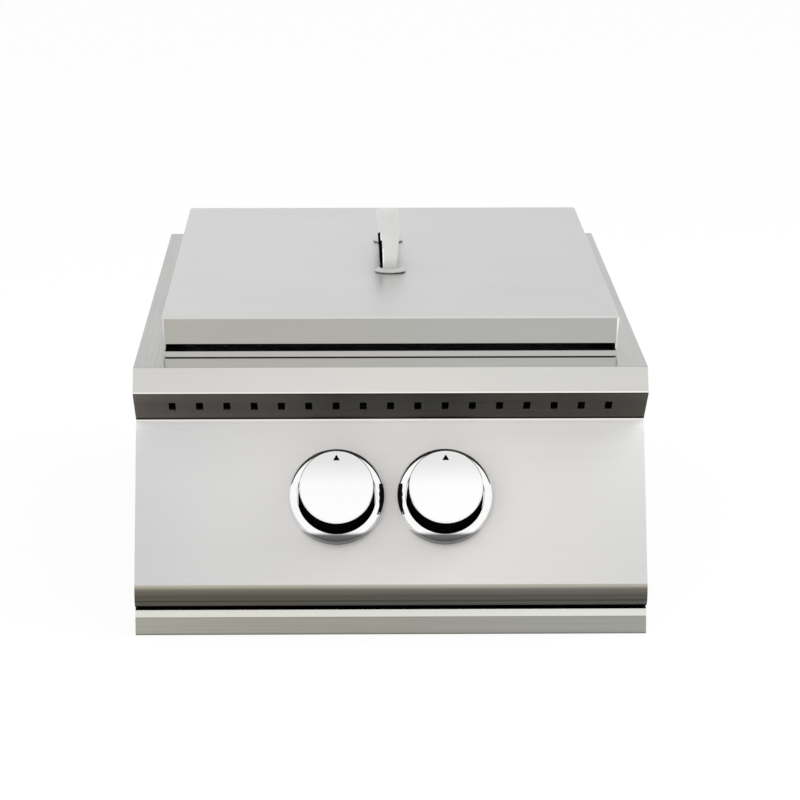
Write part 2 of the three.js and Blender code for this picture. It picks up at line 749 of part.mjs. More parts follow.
// Mixing tube from behind the jet to the burner's neck, with windows that let air in
function windowCuts(x) {
  const low = mixerFront + shutter.windowInset;
  const reach = mixer.radius + shutter.wall + overrun;
  const [side, high] = [shutter.windowWidth / 2, low + shutter.windowLength];
  const upright = block([-side, low, -reach], [side, high, reach]);
  const level = block([-reach, low, -side], [reach, high, side]);
  return [upright, level].map((cutter) => cutter.translate(x, 0, gasHeight));
}

function mixingTube(index) {
  const x = igniterSide(index) * knobSpacing / 2;
  const y = burnerPlaces[index];
  const corners = [
    new THREE.Vector3(x, mixerFront + shutter.wall + seatGap, gasHeight),
    new THREE.Vector3(x, y - mixer.sweep, gasHeight),
    new THREE.Vector3(0, y, gasHeight),
    new THREE.Vector3(0, y, gasHeight + mixer.rise),
  ];
  const path = roundedPath(corners, mixer.bend);
  const tube = tubeAlong(path, mixer.radius, mixer.radius - mixer.wall, mixer.sides);
  return cut(tube, ...windowCuts(x));
}

function airShutter(index) {
  const x = igniterSide(index) * knobSpacing / 2;
  const [inner, outer] = [mixer.radius + runGap, mixer.radius + runGap + shutter.wall];
  const back = shieldY - seatGap - runGap;
  const profile = [
    [shutter.mouth, -mixerFront],
    [outer, -mixerFront],
    [outer, -back],
    [inner, -back],
    [inner, -mixerFront - shutter.wall],
    [shutter.mouth, -mixerFront - shutter.wall],
  ];
  const sleeve = turned(profile).rotateX(Math.PI / 2).translate(x, 0, gasHeight);
  return cut(sleeve, ...windowCuts(x));
}

["front", "rear"].forEach((name, index) => {
  piece(object, `${name}_venturi`, mixingTube(index), castMetal);
  piece(object, `${name}_air_shutter`, airShutter(index), galvanised);
});

// Jets, screwed into the valves' arms and reaching into the mixing tubes
function jet(side) {
  const start = armEnd + seatGap;
  const hexEnd = start + orifice.hexLength;
  const x = side * knobSpacing / 2;
  const hex = discAlongY(orifice.hexRadius, start, hexEnd, x, gasHeight, steps.hex);
  const profile = [
    [orifice.jet, -start],
    [orifice.root, -start],
    [orifice.tip, -start - orifice.length],
    [orifice.jet, -start - orifice.length],
  ];
  const nozzle = turned(profile, steps.small).rotateX(Math.PI / 2).translate(x, 0, gasHeight);
  const bore = discAlongY(orifice.jet, start - overrun, hexEnd + overrun, x, gasHeight, steps.small);
  return cut(joined(hex, nozzle), bore);
}

// Gas valve: a barrel square to the panel, a stub down to the rail and an arm back to the jet
function gasValve(side) {
  const frame = onPanel(side).matrix;
  const x = side * knobSpacing / 2;
  const barrelProfile = [
    [0, -valve.back],
    [valve.radius * valveShape.endShare, -valve.back],
    [valve.radius, -valve.back + valve.radius * valveShape.backShare],
    [valve.radius, -valve.front - valve.radius * valveShape.frontShare],
    [valve.radius * valveShape.noseShare, -valve.front],
    [0, -valve.front],
  ];
  const barrel = turned(barrelProfile).applyMatrix4(frame);
  const boreEnd = -valve.front - valve.bore;
  const bore = disc(stem.radius + runGap, boreEnd, -valve.front + overrun).applyMatrix4(frame);
  const railTop = railZ + rail.radius + seatGap;
  const stub = disc(valve.stub, railTop, gasHeight + valve.radius / 2, steps.small).translate(x, railY, 0);
  const saddle = disc(valve.saddle, railTop, railTop + valve.saddleHeight, steps.hex);
  saddle.translate(x, railY, 0);
  const arm = discAlongY(valve.arm, valveBackY - valve.radius, armEnd, x, gasHeight, steps.small);
  const wayFront = armEnd - valve.armReach;
  const way = discAlongY(gasWay.valve, wayFront, armEnd + overrun, x, gasHeight, steps.small);
  return cut(joined(barrel, stub, saddle, arm), bore, way);
}

// Spark barrel beside each valve
const piezoOffset = valve.radius + piezo.radius + seatGap;
function sparkBarrel(side) {
  const profile = [
    [0, -piezo.back],
    [piezo.nose, -piezo.back],
    [piezo.nose, -piezo.back + piezo.noseLength],
    [piezo.radius, -piezo.back + piezo.noseLength],
    [piezo.radius, -piezo.front],
    [0, -piezo.front],
  ];
  const barrel = turned(profile, steps.small).translate(side * piezoOffset, 0, 0);
  return barrel.applyMatrix4(onPanel(side).matrix);
}

// Leads from the spark barrels to the electrodes, clipped along the way
function sparkLead(index) {
  const side = igniterSide(index);
  const inward = new THREE.Vector3(0, Math.cos(slant), -Math.sin(slant));
  const nose = new THREE.Vector3(side * (knobSpacing / 2 + piezoOffset), knobY, knobZ)
    .addScaledVector(inward, piezo.back + seatGap);
  const footZ = panFloor - igniter.low - seatGap;
  const foot = new THREE.Vector3(side * igniter.reach, burnerPlaces[index], footZ);
  const outer = side * leadX;
  const route = [
    nose,
    nose.clone().addScaledVector(inward, lead.straight),
    new THREE.Vector3(outer, shieldY - lead.straight / 2, leadPass.z),
    new THREE.Vector3(outer, shieldY + lead.straight, leadPass.z),
    new THREE.Vector3(outer, foot.y - lead.climb, leadPass.z + lead.straight),
    foot.clone().add(new THREE.Vector3(0, 0, -lead.straight)),
    foot,
  ];
  return tubeAlong(roundedPath(route, lead.bend), lead.radius, 0, steps.lead);
}

["left", "right"].forEach((name, index) => {
  const side = igniterSide(index);
  piece(object, `${name}_valve`, gasValve(side), brass);
  piece(object, `${name}_orifice`, jet(side), brass);
  piece(object, `${name}_piezo`, sparkBarrel(side), enamel);
  piece(object, ["front_igniter_lead", "rear_igniter_lead"][index], sparkLead(index), silicone);
});

// The gas rail, its plug and brackets, and the pipe that runs back to the inlet
function gasRail() {
  const pipe = discAlongX(rail.radius, railLeft, railRight, railY, railZ);
  const bore = discAlongX(rail.bore, railLeft - overrun, railRight + overrun, railY, railZ);
  const taps = [-1, 1].map((side) => {
    return disc(gasWay.rail, railZ, railZ + rail.radius + overrun, steps.small)
      .translate(side * knobSpacing / 2, railY, 0);
  });
  return cut(pipe, bore, ...taps);
}
piece(object, "manifold_pipe", gasRail(), galvanised);

function railPlug() {
  const end = railLeft - seatGap;
  const hex = discAlongX(plug.hexRadius, end - plug.length, end, railY, railZ, steps.hex);
  const square = block(
    [end - plug.length - plug.squareLength, railY - plug.square, railZ - plug.square],
    [end - plug.length, railY + plug.square, railZ + plug.square],
  );
  return joined(hex, square);
}
piece(object, "manifold_plug", railPlug(), brass);

function railBracketSheet(x) {
  const top = railZ - rail.radius - seatGap;
  const path = [
    [railY - rail.radius - railBracket.toe, top + railBracket.toe],
    [railY - rail.radius - railBracket.toe, top],
    [shieldY - seatGap, top],
    [shieldY - seatGap, top + railBracket.rise],
  ];
  const outline = polygon([...path, ...offsetPath(path, -railBracket.sheet).reverse()]);
  const strap = acrossX(outline, x - railBracket.width / 2, x + railBracket.width / 2);
  return strap.translate(0, -railBracket.sheet, 0);
}
[railLeft + railBracket.plugInset, railRight - railBracket.elbowInset].forEach((x, i) => {
  piece(object, `${["left", "right"][i]}_manifold_bracket`, railBracketSheet(x), galvanised);
});

function gasElbow() {
  const left = railRight + seatGap;
  const back = railY + feed.start;
  const level = discAlongX(elbow.radius, left, feedX, railY, railZ);
  const away = discAlongY(elbow.radius, railY, back, feedX, railZ);
  const ball = new THREE.SphereGeometry(elbow.radius, steps.round, steps.small).rotateX(Math.PI / 2);
  const corner = ball.translate(feedX, railY, railZ);
  const levelBore = discAlongX(feed.bore, left - overrun, feedX, railY, railZ, steps.small);
  const awayBore = discAlongY(feed.bore, railY, back + overrun, feedX, railZ, steps.small);
  return cut(joined(level, away, corner), levelBore, awayBore);
}
piece(object, "gas_elbow", gasElbow(), brass);

function feedPipe() {
  const [front, back] = [railY + feed.start + seatGap, feedBack];
  const pipe = discAlongY(feed.radius, front, back, feedX, railZ, steps.small);
  return cut(pipe, discAlongY(feed.bore, front - overrun, back + overrun, feedX, railZ, steps.small));
}
piece(object, "feed_pipe", feedPipe(), galvanised);

function gasInlet() {
  const start = feedBack + seatGap;
  const nutEnd = boxBack - rearPanel.inset - bodySheet - seatGap;
  const hexStart = boxBack - rearPanel.inset + seatGap;
  const hexEnd = hexStart + inlet.hexLength;
  const end = hexEnd + inlet.stubLength;
  const nut = discAlongY(inlet.nut, start, nutEnd, feedX, railZ, steps.hex);
  const hex = discAlongY(inlet.hexRadius, hexStart, hexEnd, feedX, railZ, steps.hex);
  const stub = discAlongY(inlet.stubRadius, nutEnd - inlet.stubLength, end, feedX, railZ);
  const bore = discAlongY(inlet.bore, start - overrun, end + overrun, feedX, railZ, steps.small);
  return cut(joined(nut, hex, stub), bore);
}
piece(object, "gas_inlet", gasInlet(), brass);

// Bezel, knob, stem and thrust washer, in the frame of the panel's face
function bezelRing() {
  const arc = (i) => i / steps.bend * Math.PI / 2;
  const outerRound = Array.from({ length: steps.bend + 1 }, (_, i) => [
    bezel.radius - bezel.round * (1 - Math.cos(arc(i))),
    seatGap + bezel.height - bezel.round * (1 - Math.sin(arc(i))),
  ]);
  const profile = [
    [bezel.hole, seatGap],
    [bezel.radius, seatGap],
    ...outerRound,
    [bezel.mouth, seatGap + bezel.height - bezel.round / 2],
    [bezel.mouth, seatGap + bezel.floor],
    [bezel.hole, seatGap + bezel.floor],
  ];
  return turned(profile, steps.knob);
}

function knobBody() {
  const arc = (i) => i / steps.bend * Math.PI / 2;
  const edge = Array.from({ length: steps.bend + 1 }, (_, i) => [
    knob.faceRadius - knob.round * (1 - Math.cos(arc(i))),
    knob.high - knob.round * (1 - Math.sin(arc(i))),
  ]);
  const profile = [
    [stem.radius + runGap, knob.low],
    [knob.hub, knob.low],
    [knob.hub, knob.hubTop],
    [knob.faceRadius - knob.wall, knob.hubTop],
    [knob.baseRadius - knob.wall, knob.low],
    [knob.baseRadius, knob.low],
    ...edge,
    [0, knob.high],
    [0, stem.high + seatGap],
    [stem.radius + runGap, stem.high + seatGap],
  ];
  return turned(profile, steps.knob);
}

function stemShaft() {
  const collarLow = stem.collarHigh - stem.collar;
  const shaft = disc(stem.radius, stem.low, stem.high, steps.small);
  const collar = disc(stem.collarRadius, collarLow, stem.collarHigh, steps.small);
  const flat = stem.radius * stem.flatShare;
  const flatCut = block([-bezel.hole, flat, knob.low], [bezel.hole, bezel.hole, stem.high + overrun]);
  return cut(joined(shaft, collar), flatCut);
}

function thrustWasher() {
  const top = stem.collarHigh - stem.collar - seatGap;
  const low = top - washer.thickness;
  const inner = stem.radius + runGap;
  return turned([[inner, low], [washer.outer, low], [washer.outer, top], [inner, top]], steps.small);
}

["left", "right"].forEach((name, index) => {
  const group = onPanel(igniterSide(index));
  piece(group, `${name}_bezel`, bezelRing(), polished);
  piece(group, `${name}_knob`, knobBody(), polished);
  piece(group, `${name}_stem`, stemShaft(), galvanised);
  piece(group, `${name}_thrust_washer`, thrustWasher(), galvanised);
  object.add(group);
});

// Cover: a folded sheet whose sides run down to the ledge, while front and back stop short of it
function coverSheet() {
  const halfX = rimWidth / 2 + lid.overhang;
  const halfY = rimLength / 2 + lid.overhang;
  const foot = ledgeTop + seatGap;
  const drop = lidTop - foot;
  const lean = drop * lid.draftShare;
  const profile = [
    [0, lidTop - lid.bend / 2],
    [lean, foot],
    [lean + lid.sheet, foot],
    [lid.sheet + lid.bend / 2, lidTop - lid.sheet],
    [lid.sheet + lid.bend * 2, lidTop - lid.sheet],
    [lid.sheet + lid.bend * 2, lidTop],
    [lid.bend / 2, lidTop],
  ];
  const skirts = loopRing(profile, halfX, halfY, lid.corner, rimMiddle);
  const topInset = lid.sheet + lid.bend;
  const topLoop = roundedLoop(halfX - topInset, halfY - topInset, lid.corner, rimMiddle);
  const top = upZ(polygon(topLoop), lidTop - lid.sheet, lidTop);
  const edge = halfX - lean - lid.sheet - lid.edge;
  const cutTop = lidTop - lid.skirt;
  const notches = [-1, 1].map((way) => {
    const ends = [halfY - lid.notchRun, halfY + overrun].map((y) => rimMiddle + way * y);
    const [from, to] = [Math.min(...ends), Math.max(...ends)];
    return block([-edge, from, foot - overrun], [edge, to, cutTop]);
  });
  return cut(joined(skirts, top), ...notches);
}
piece(object, "lid", coverSheet(), brushed);

// Handle: a bow that swells towards the middle of the grip, on two round feet
function bowHandle() {
  const sections = steps.bow;
  const sides = steps.grip;
  const squarer = (value) => Math.sign(value) * Math.pow(Math.abs(value), handleShape.sectionShare);
  const rise = handle.height - handle.thick / 2;
  const rings = [];
  for (let i = 0; i <= sections; i++) {
    const share = i / sections;
    const angle = Math.PI * share;
    const bow = Math.pow(Math.sin(angle), handleShape.bowShare);
    const y = -Math.cos(angle) * handle.feet / 2;
    const z = lidTop + seatGap + handle.footHeight / 2 + bow * (rise - handle.footHeight / 2);
    rings.push({ y, z, width: handle.endWidth + (handle.midWidth - handle.endWidth) * Math.sin(angle) });
  }
  const points = [];
  const end = rings.length - 1;
  rings.forEach((ring, i) => {
    const before = rings[Math.max(i - 1, 0)];
    const after = rings[Math.min(i + 1, end)];
    const along = new THREE.Vector2(after.y - before.y, after.z - before.z).normalize();
    if (i === 0) along.set(0, 1);
    if (i === end) along.set(0, -1);
    for (let j = 0; j < sides; j++) {
      const angle = 2 * Math.PI * j / sides;
      const wide = ring.width / 2 * squarer(Math.cos(angle));
      const deep = handle.thick / 2 * squarer(Math.sin(angle));
      points.push(wide, ring.y - along.y * deep, ring.z + along.x * deep);
    }
  });
  const index = [];
  for (let i = 0; i < end; i++) {
    for (let j = 0; j < sides; j++) {
      const k = (j + 1) % sides;
      const [a, b] = [i * sides, (i + 1) * sides];
      index.push(a + j, a + k, b + k, a + j, b + k, b + j);
    }
  }
  for (let j = 1; j < sides - 1; j++) {
    const last = end * sides;
    index.push(0, j + 1, j, last, last + j, last + j + 1);
  }
  const bow = new THREE.BufferGeometry();
  bow.setAttribute("position", new THREE.Float32BufferAttribute(points, 3));
  bow.setIndex(index);
  const [footLow, footHigh] = [lidTop + seatGap, lidTop + seatGap + handle.footHeight];
  const footProfile = [
    [0, footLow],
    [handle.footRadius, footLow],
    [handle.footRadius, footLow + handle.footHeight * handleShape.footEdgeShare],
    [handle.footRadius * handleShape.footTopShare, footHigh],
    [0, footHigh],
  ];
  const feet = [-1, 1].map((way) => turned(footProfile).translate(0, way * handle.feet / 2, 0));
  return joined(bow, ...feet).translate(handle.across, -handle.forward, 0);
}
piece(object, "lid_handle", bowHandle(), polished);

// Drip tray: a folded front across the whole width, and an open pan that hangs on two runners
function trayFront() {
  const path = [
    [-tray.face + tray.ledge, tray.high + tray.slope],
    [-tray.face + tray.slope, tray.high + tray.slope],
    [-tray.face, tray.high],
    [-tray.face, tray.low],
    [-tray.face + tray.toe, tray.low],
  ];
  return acrossX(sheetOutline(path, tray.sheet), -half, half);
}
piece(object, "drip_tray_front", trayFront(), brushed);

const trayPanFront = -tray.face + tray.sheet + seatGap;
function trayPanSheet() {
  const side = trayHalf;
  const front = trayPanFront;
  const upturnTop = tray.high - tray.sheet - seatGap;
  const lipLow = trayPan.high - tray.sheet;
  const outline = [
    [-side - trayPan.lip, lipLow],
    [-side, lipLow],
    [-side, trayPan.low],
    [side, trayPan.low],
    [side, lipLow],
    [side + trayPan.lip, lipLow],
  ];
  const troughFront = -tray.face + tray.ledge + seatGap;
  const trough = alongY(sheetOutline(outline, tray.sheet), troughFront, trayBack);
  const tongueEnd = [side, troughFront + tray.sheet, trayPan.low + tray.sheet];
  const tongue = block([-side, front, trayPan.low], tongueEnd);
  const upturn = block([-side, front, trayPan.low], [side, front + tray.sheet, upturnTop]);
  const endWalls = [troughFront, trayBack - tray.sheet].map((y) => {
    return block([-side, y, trayPan.low], [side, y + tray.sheet, lipLow]);
  });
  return joined(trough, tongue, upturn, ...endWalls);
}
piece(object, "drip_tray_pan", trayPanSheet(), galvanised);

function trayRunner(side) {
  const outside = boxHalf - bodySheet - seatGap;
  const high = trayPan.high - tray.sheet - seatGap;
  const path = [[outside, high - runner.height], [outside, high], [outside - runner.reach, high]];
  const angle = alongY(sheetOutline(path, runner.sheet), boxFront + seatGap, trayBack);
  return side > 0 ? angle : angle.scale(-1, 1, 1);
}
piece(object, "left_runner", trayRunner(-1), galvanised);
piece(object, "right_runner", trayRunner(1), galvanised);

export default object;
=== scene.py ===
"""Looks of a built-in double side burner with a lift-off cover, for an outdoor kitchen counter.

Sizes are in millimetres and meshes in metres. X runs to the right, Y to the back and Z up.
"""
import logging
from dataclasses import dataclass
from enum import Enum
from math import atan2, copysign, cos, degrees, pi, radians, sin, tan
from typing import Sequence

import bmesh
import bpy
from mathutils import Matrix, Vector


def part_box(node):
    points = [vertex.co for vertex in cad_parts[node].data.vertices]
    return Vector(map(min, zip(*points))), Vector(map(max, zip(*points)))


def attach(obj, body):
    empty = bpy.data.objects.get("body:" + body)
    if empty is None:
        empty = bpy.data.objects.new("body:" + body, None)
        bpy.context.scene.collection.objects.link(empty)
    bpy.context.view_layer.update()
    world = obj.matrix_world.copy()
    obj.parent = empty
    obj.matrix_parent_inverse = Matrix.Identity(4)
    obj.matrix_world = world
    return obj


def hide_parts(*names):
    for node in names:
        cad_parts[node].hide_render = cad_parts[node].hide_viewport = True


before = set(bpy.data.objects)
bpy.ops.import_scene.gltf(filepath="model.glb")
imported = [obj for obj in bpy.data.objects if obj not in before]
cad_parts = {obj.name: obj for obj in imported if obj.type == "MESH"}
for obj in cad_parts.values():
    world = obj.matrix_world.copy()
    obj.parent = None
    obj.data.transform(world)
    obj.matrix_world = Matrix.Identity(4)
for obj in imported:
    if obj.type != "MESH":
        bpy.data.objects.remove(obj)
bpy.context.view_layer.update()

log = logging.getLogger("side_burner")

MM = 0.001
# Angles in degrees: edges past SHARP stay sharp, and faces within FLAT of each other are one.
SHARP = 32
FLAT = 0.6
# Distances in metres below which points are one, in the script's own meshes and in the CAD's.
MERGE = 1e-7
CAD_MERGE = 2e-6
WHITE = (1, 1, 1, 1)

Point2 = tuple[float, float]
Point3 = tuple[float, float, float]
Nodes = bpy.types.NodeTree
Socket = bpy.types.NodeSocket
Piece = bpy.types.Object
Material = bpy.types.Material


class Grain(Enum):
    """Which way the brushing of a sheet runs."""

    ACROSS = 0
    ALONG = 1


class Repeat(Enum):
    """What a repeated item does to the piece that it is set on."""

    CUT = "cut"
    ADD = "add"


class Spot(Enum):
    """Where one of a pair of items lies."""

    @property
    def label(self) -> str:
        """The spot's word in node names."""
        return self.name.lower()


class Side(Spot):
    """Left or right of the object, as seen from the front."""

    LEFT = -1
    RIGHT = 1


class Place(Spot):
    """Front or rear burner."""

    FRONT = 0
    REAR = 1


# Places and outlines

def box_of(node: str) -> tuple[Vector, Vector]:
    """Gives a CAD node's lowest and highest corners in millimetres."""
    low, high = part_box(node)
    return low / MM, high / MM


def filleted(path: Sequence[Point2], radius: float, steps: int) -> list[Point2]:
    """Rounds the inner corners of a path.

    Args:
        path: Corner points.
        radius: Radius of each rounding.
        steps: Straight pieces in each rounding.

    Returns:
        The rounded path.
    """
    points: list[Point2] = [tuple(path[0])]
    for before, corner, after in zip(path, path[1:], path[2:]):
        middle = Vector(corner)
        back = (Vector(before) - middle).normalized()
        onward = (Vector(after) - middle).normalized()
        turn = pi - back.angle(onward)
        reach = radius * tan(turn / 2)
        centre = middle + (back + onward).normalized() * radius / cos(turn / 2)
        way = 1 if back.y * onward.x - back.x * onward.y > 0 else -1
        arm = middle + back * reach - centre
        for i in range(steps + 1):
            spin = Matrix.Rotation(way * turn * i / steps, 2)
            points.append(tuple(centre + spin @ arm))
    points.append(tuple(path[-1]))
    return points


def around(count: int) -> list[float]:
    """Gives the angles of a full turn in equal steps."""
    return [2 * pi * i / count for i in range(count)]


def offset_path(path: Sequence[Point2], distance: float) -> list[Point2]:
    """Moves a path sideways to its left.

    Args:
        path: Points of the path.
        distance: How far it moves.

    Returns:
        As many points as the path has.
    """
    moved: list[Point2] = []
    for i, point in enumerate(path):
        here = Vector(point)
        into = (here - Vector(path[max(i - 1, 0)])).normalized()
        out = (Vector(path[min(i + 1, len(path) - 1)]) - here).normalized()
        into = into if into.length else out
        out = out if out.length else into
        left = Vector((-into.y - out.y, into.x + out.x)).normalized()
        reach = distance / (left.x * -into.y + left.y * into.x)
        moved.append(tuple(here + left * reach))
    return moved


def rounded_loop(half_x: float, half_y: float, radius: float, middle_y: float, steps: int) -> list[Point2]:
    """Gives the points of a rounded rectangle, round from its right side.

    Args:
        half_x: Half its width.
        half_y: Half its length.
        radius: Corner radius.
        middle_y: Where its middle lies along Y.
        steps: Straight pieces in each corner.

    Returns:
        The points, counter-clockwise from above.
    """
    points: list[Point2] = []
    for corner, (side_x, side_y) in enumerate(((1, 1), (-1, 1), (-1, -1), (1, -1))):
        for i in range(steps + 1):
            angle = (corner + i / steps) * pi / 2
            x = side_x * (half_x - radius) + radius * cos(angle)
            y = side_y * (half_y - radius) + radius * sin(angle) + middle_y
            points.append((x, y))
    return points


# Meshes

def smooth(mesh: bpy.types.Mesh, sharp: float = SHARP) -> None:
    """Shades a mesh smooth, with sharp edges past an angle in degrees."""
    mesh.shade_smooth()
    mesh.set_sharp_from_angle(angle=radians(sharp))


def object_from(name: str, mesh: bpy.types.Mesh, sharp: float = SHARP) -> Piece:
    """Makes an object of a mesh, with smooth faces and sharp edges past an angle in degrees.

    Args:
        name: The piece's name.
        mesh: Its mesh.
        sharp: Angle in degrees past which an edge stays sharp.

    Returns:
        The object.
    """
    piece = bpy.data.objects.new(name, mesh)
    bpy.context.scene.collection.objects.link(piece)
    smooth(mesh, sharp)
    return piece


def solid(
    name: str, points: Sequence[Point3], faces: Sequence[Sequence[int]], sharp: float = SHARP,
) -> Piece:
    """Makes a closed object from points in millimetres.

    Args:
        name: The piece's name.
        points: Corners in millimetres.
        faces: Corner numbers of each face.
        sharp: Angle in degrees past which an edge stays sharp.

    Returns:
        The object, with doubled corners merged and its faces turned outwards.
    """
    mesh = bpy.data.meshes.new(name)
    mesh.from_pydata([[c * MM for c in point] for point in points], [], faces)
    work = bmesh.new()
    work.from_mesh(mesh)
    bmesh.ops.remove_doubles(work, verts=work.verts, dist=MERGE)
    bmesh.ops.dissolve_degenerate(work, edges=work.edges, dist=MERGE)
    bmesh.ops.recalc_face_normals(work, faces=work.faces)
    work.to_mesh(mesh)
    work.free()
    return object_from(name, mesh, sharp)


def loft(name: str, rings: Sequence[Sequence[Point3]], looped: bool, sharp: float = SHARP) -> Piece:
    """Joins closed rings of equal counts into one skin.

    Args:
        name: The piece's name.
        rings: The rings in order.
        looped: Whether the last ring joins the first; otherwise both ends are capped.
        sharp: Angle in degrees past which an edge stays sharp.

    Returns:
        The object.
    """
    count = len(rings[0])
    faces: list[list[int]] = []
    for i in range(len(rings) if looped else len(rings) - 1):
        a, b = i * count, (i + 1) % len(rings) * count
        faces += [[a + j, a + (j + 1) % count, b + (j + 1) % count, b + j] for j in range(count)]
    if not looped:
        faces += [list(range(count)), list(range((len(rings) - 1) * count, len(rings) * count))]
    return solid(name, [point for ring in rings for point in ring], faces, sharp)


def lathe(name: str, profile: Sequence[Point2], place: Matrix, count: int) -> Piece:
    """Turns a closed profile of radius and height round the Z axis of a place.

    Args:
        name: The piece's name.
        profile: Points of radius and height; it may start and end on the axis.
        place: Where the axis stands, in millimetres.
        count: Faces round.

    Returns:
        The object.
    """
    rings = [
        [tuple(place @ Vector((radius * cos(a), radius * sin(a), height))) for a in around(count)]
        for radius, height in profile
    ]
    return loft(name, rings, looped=True, sharp=28)


@dataclass(frozen=True)
class FoldedSheet:
    """A sheet folded along X. The path is its outer face and the sheet lies to the left of it."""

    path: Sequence[Point2]
    thickness: float
    bend: float
    steps: int = 5

    def build(self, name: str, half: float) -> Piece:
        """Builds the sheet between two sides.

        Args:
            name: The piece's name.
            half: Half its width.

        Returns:
            The object.
        """
        outer = filleted(self.path, self.bend, self.steps)
        inner = offset_path(outer, self.thickness)
        count = len(outer)
        far = 2 * count
        points = [(x, y, z) for x in (-half, half) for y, z in (*outer, *inner)]
        faces: list[list[int]] = []
        for i in range(count - 1):
            faces += [[a, a + 1, a + 1 + far, a + far] for a in (i, count + i)]
            faces += [[a, a + 1, a + count + 1, a + count] for a in (i, far + i)]
        faces += [[end, end + count, end + count + far, end + far] for end in (0, count - 1)]
        return solid(name, points, faces)


def refined(node: str, width: float, steps: int = 2) -> Piece:
    """Copies a CAD node, clears its flat faces of loose lines and rounds its edges.

    Args:
        node: The CAD node.
        width: Width of the rounding in millimetres.
        steps: Faces across the rounding.

    Returns:
        The copy, named after the node.
    """
    work = bmesh.new()
    work.from_mesh(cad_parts[node].data)
    bmesh.ops.remove_doubles(work, verts=work.verts, dist=CAD_MERGE)
    bmesh.ops.dissolve_limit(work, angle_limit=radians(FLAT), verts=work.verts, edges=work.edges)
    mesh = bpy.data.meshes.new(f"{node}_skin")
    work.to_mesh(mesh)
    work.free()
    piece = object_from(f"{node}_skin", mesh)
    bevel = piece.modifiers.new("rounded_edges", "BEVEL")
    bevel.width = width * MM
    bevel.segments = steps
    bevel.limit_method = "ANGLE"
    bevel.angle_limit = radians(SHARP)
    return flattened(piece)


def flattened(piece: Piece) -> Piece:
    """Turns a piece's modifiers into plain mesh and removes them.

    Args:
        piece: The piece.

    Returns:
        The piece.
    """
    bpy.context.view_layer.update()
    depsgraph = bpy.context.evaluated_depsgraph_get()
    made = bpy.data.meshes.new_from_object(piece.evaluated_get(depsgraph), depsgraph=depsgraph)
    piece.modifiers.clear()
    piece.data = made
    made.name = piece.name
    return piece


# Node trees

def add_node(tree: Nodes, kind: str, inputs: dict | None = None, **settings: object) -> bpy.types.Node:
    """Adds a node with its settings, and sets or links its inputs.

    Args:
        tree: The tree it goes into.
        kind: The node's type.
        inputs: Input name or number to a value, or to the socket that feeds it.
        settings: Properties of the node itself.

    Returns:
        The node.
    """
    node = tree.nodes.new(kind)
    for key, value in settings.items():
        setattr(node, key, value)
    feed(tree, node, inputs or {})
    return node


def feed(tree: Nodes, node: bpy.types.Node, inputs: dict) -> None:
    """Links each input of a node to the socket given for it, or sets it to the value given.

    Args:
        tree: The node's tree.
        node: The node.
        inputs: Input name or number to a value, or to the socket that feeds it.
    """
    for key, value in inputs.items():
        if isinstance(value, Socket):
            tree.links.new(value, node.inputs[key])
        else:
            node.inputs[key].default_value = value


def hex_colour(text: str) -> tuple[float, float, float, float]:
    """Turns an sRGB hex colour to linear with an alpha of 1.

    Args:
        text: The colour, such as #c0c0c0.

    Returns:
        Red, green, blue and alpha.
    """
    shares = [int(text[i:i + 2], 16) / 255 for i in (1, 3, 5)]
    linear = [s / 12.92 if s <= 0.04045 else ((s + 0.055) / 1.055) ** 2.4 for s in shares]
    return (*linear, 1.0)


def fill_ramp(ramp: bpy.types.Node, stops: Sequence[tuple[float, tuple[float, ...]]]) -> None:
    """Gives a colour ramp its stops of position and linear colour.

    Args:
        ramp: The ramp's node.
        stops: Position and linear colour of each stop.
    """
    elements = ramp.color_ramp.elements
    while len(elements) < len(stops):
        elements.new(0.5)
    for element, (position, colour) in zip(elements, stops):
        element.position = position
        element.color = colour


def height_share(tree: Nodes, place: Socket, heights: Sequence[Point2]) -> Socket:
    """Gives the share of a tone that is left at a height: painted shade and painted sheen that change up a
    face.

    Args:
        tree: The material's tree.
        place: The object coordinates.
        heights: Heights in millimetres with their shares, from the lowest.

    Returns:
        The share.
    """
    low, high = heights[0][0], heights[-1][0]
    height = add_node(tree, "ShaderNodeSeparateXYZ", {0: place}).outputs[2]
    along = add_node(tree, "ShaderNodeMapRange", {0: height, 1: low * MM, 2: high * MM})
    ramp = add_node(tree, "ShaderNodeValToRGB", {0: along.outputs[0]})
    fill_ramp(ramp, [((z - low) / (high - low), (share, share, share, 1)) for z, share in heights])
    return ramp.outputs[0]


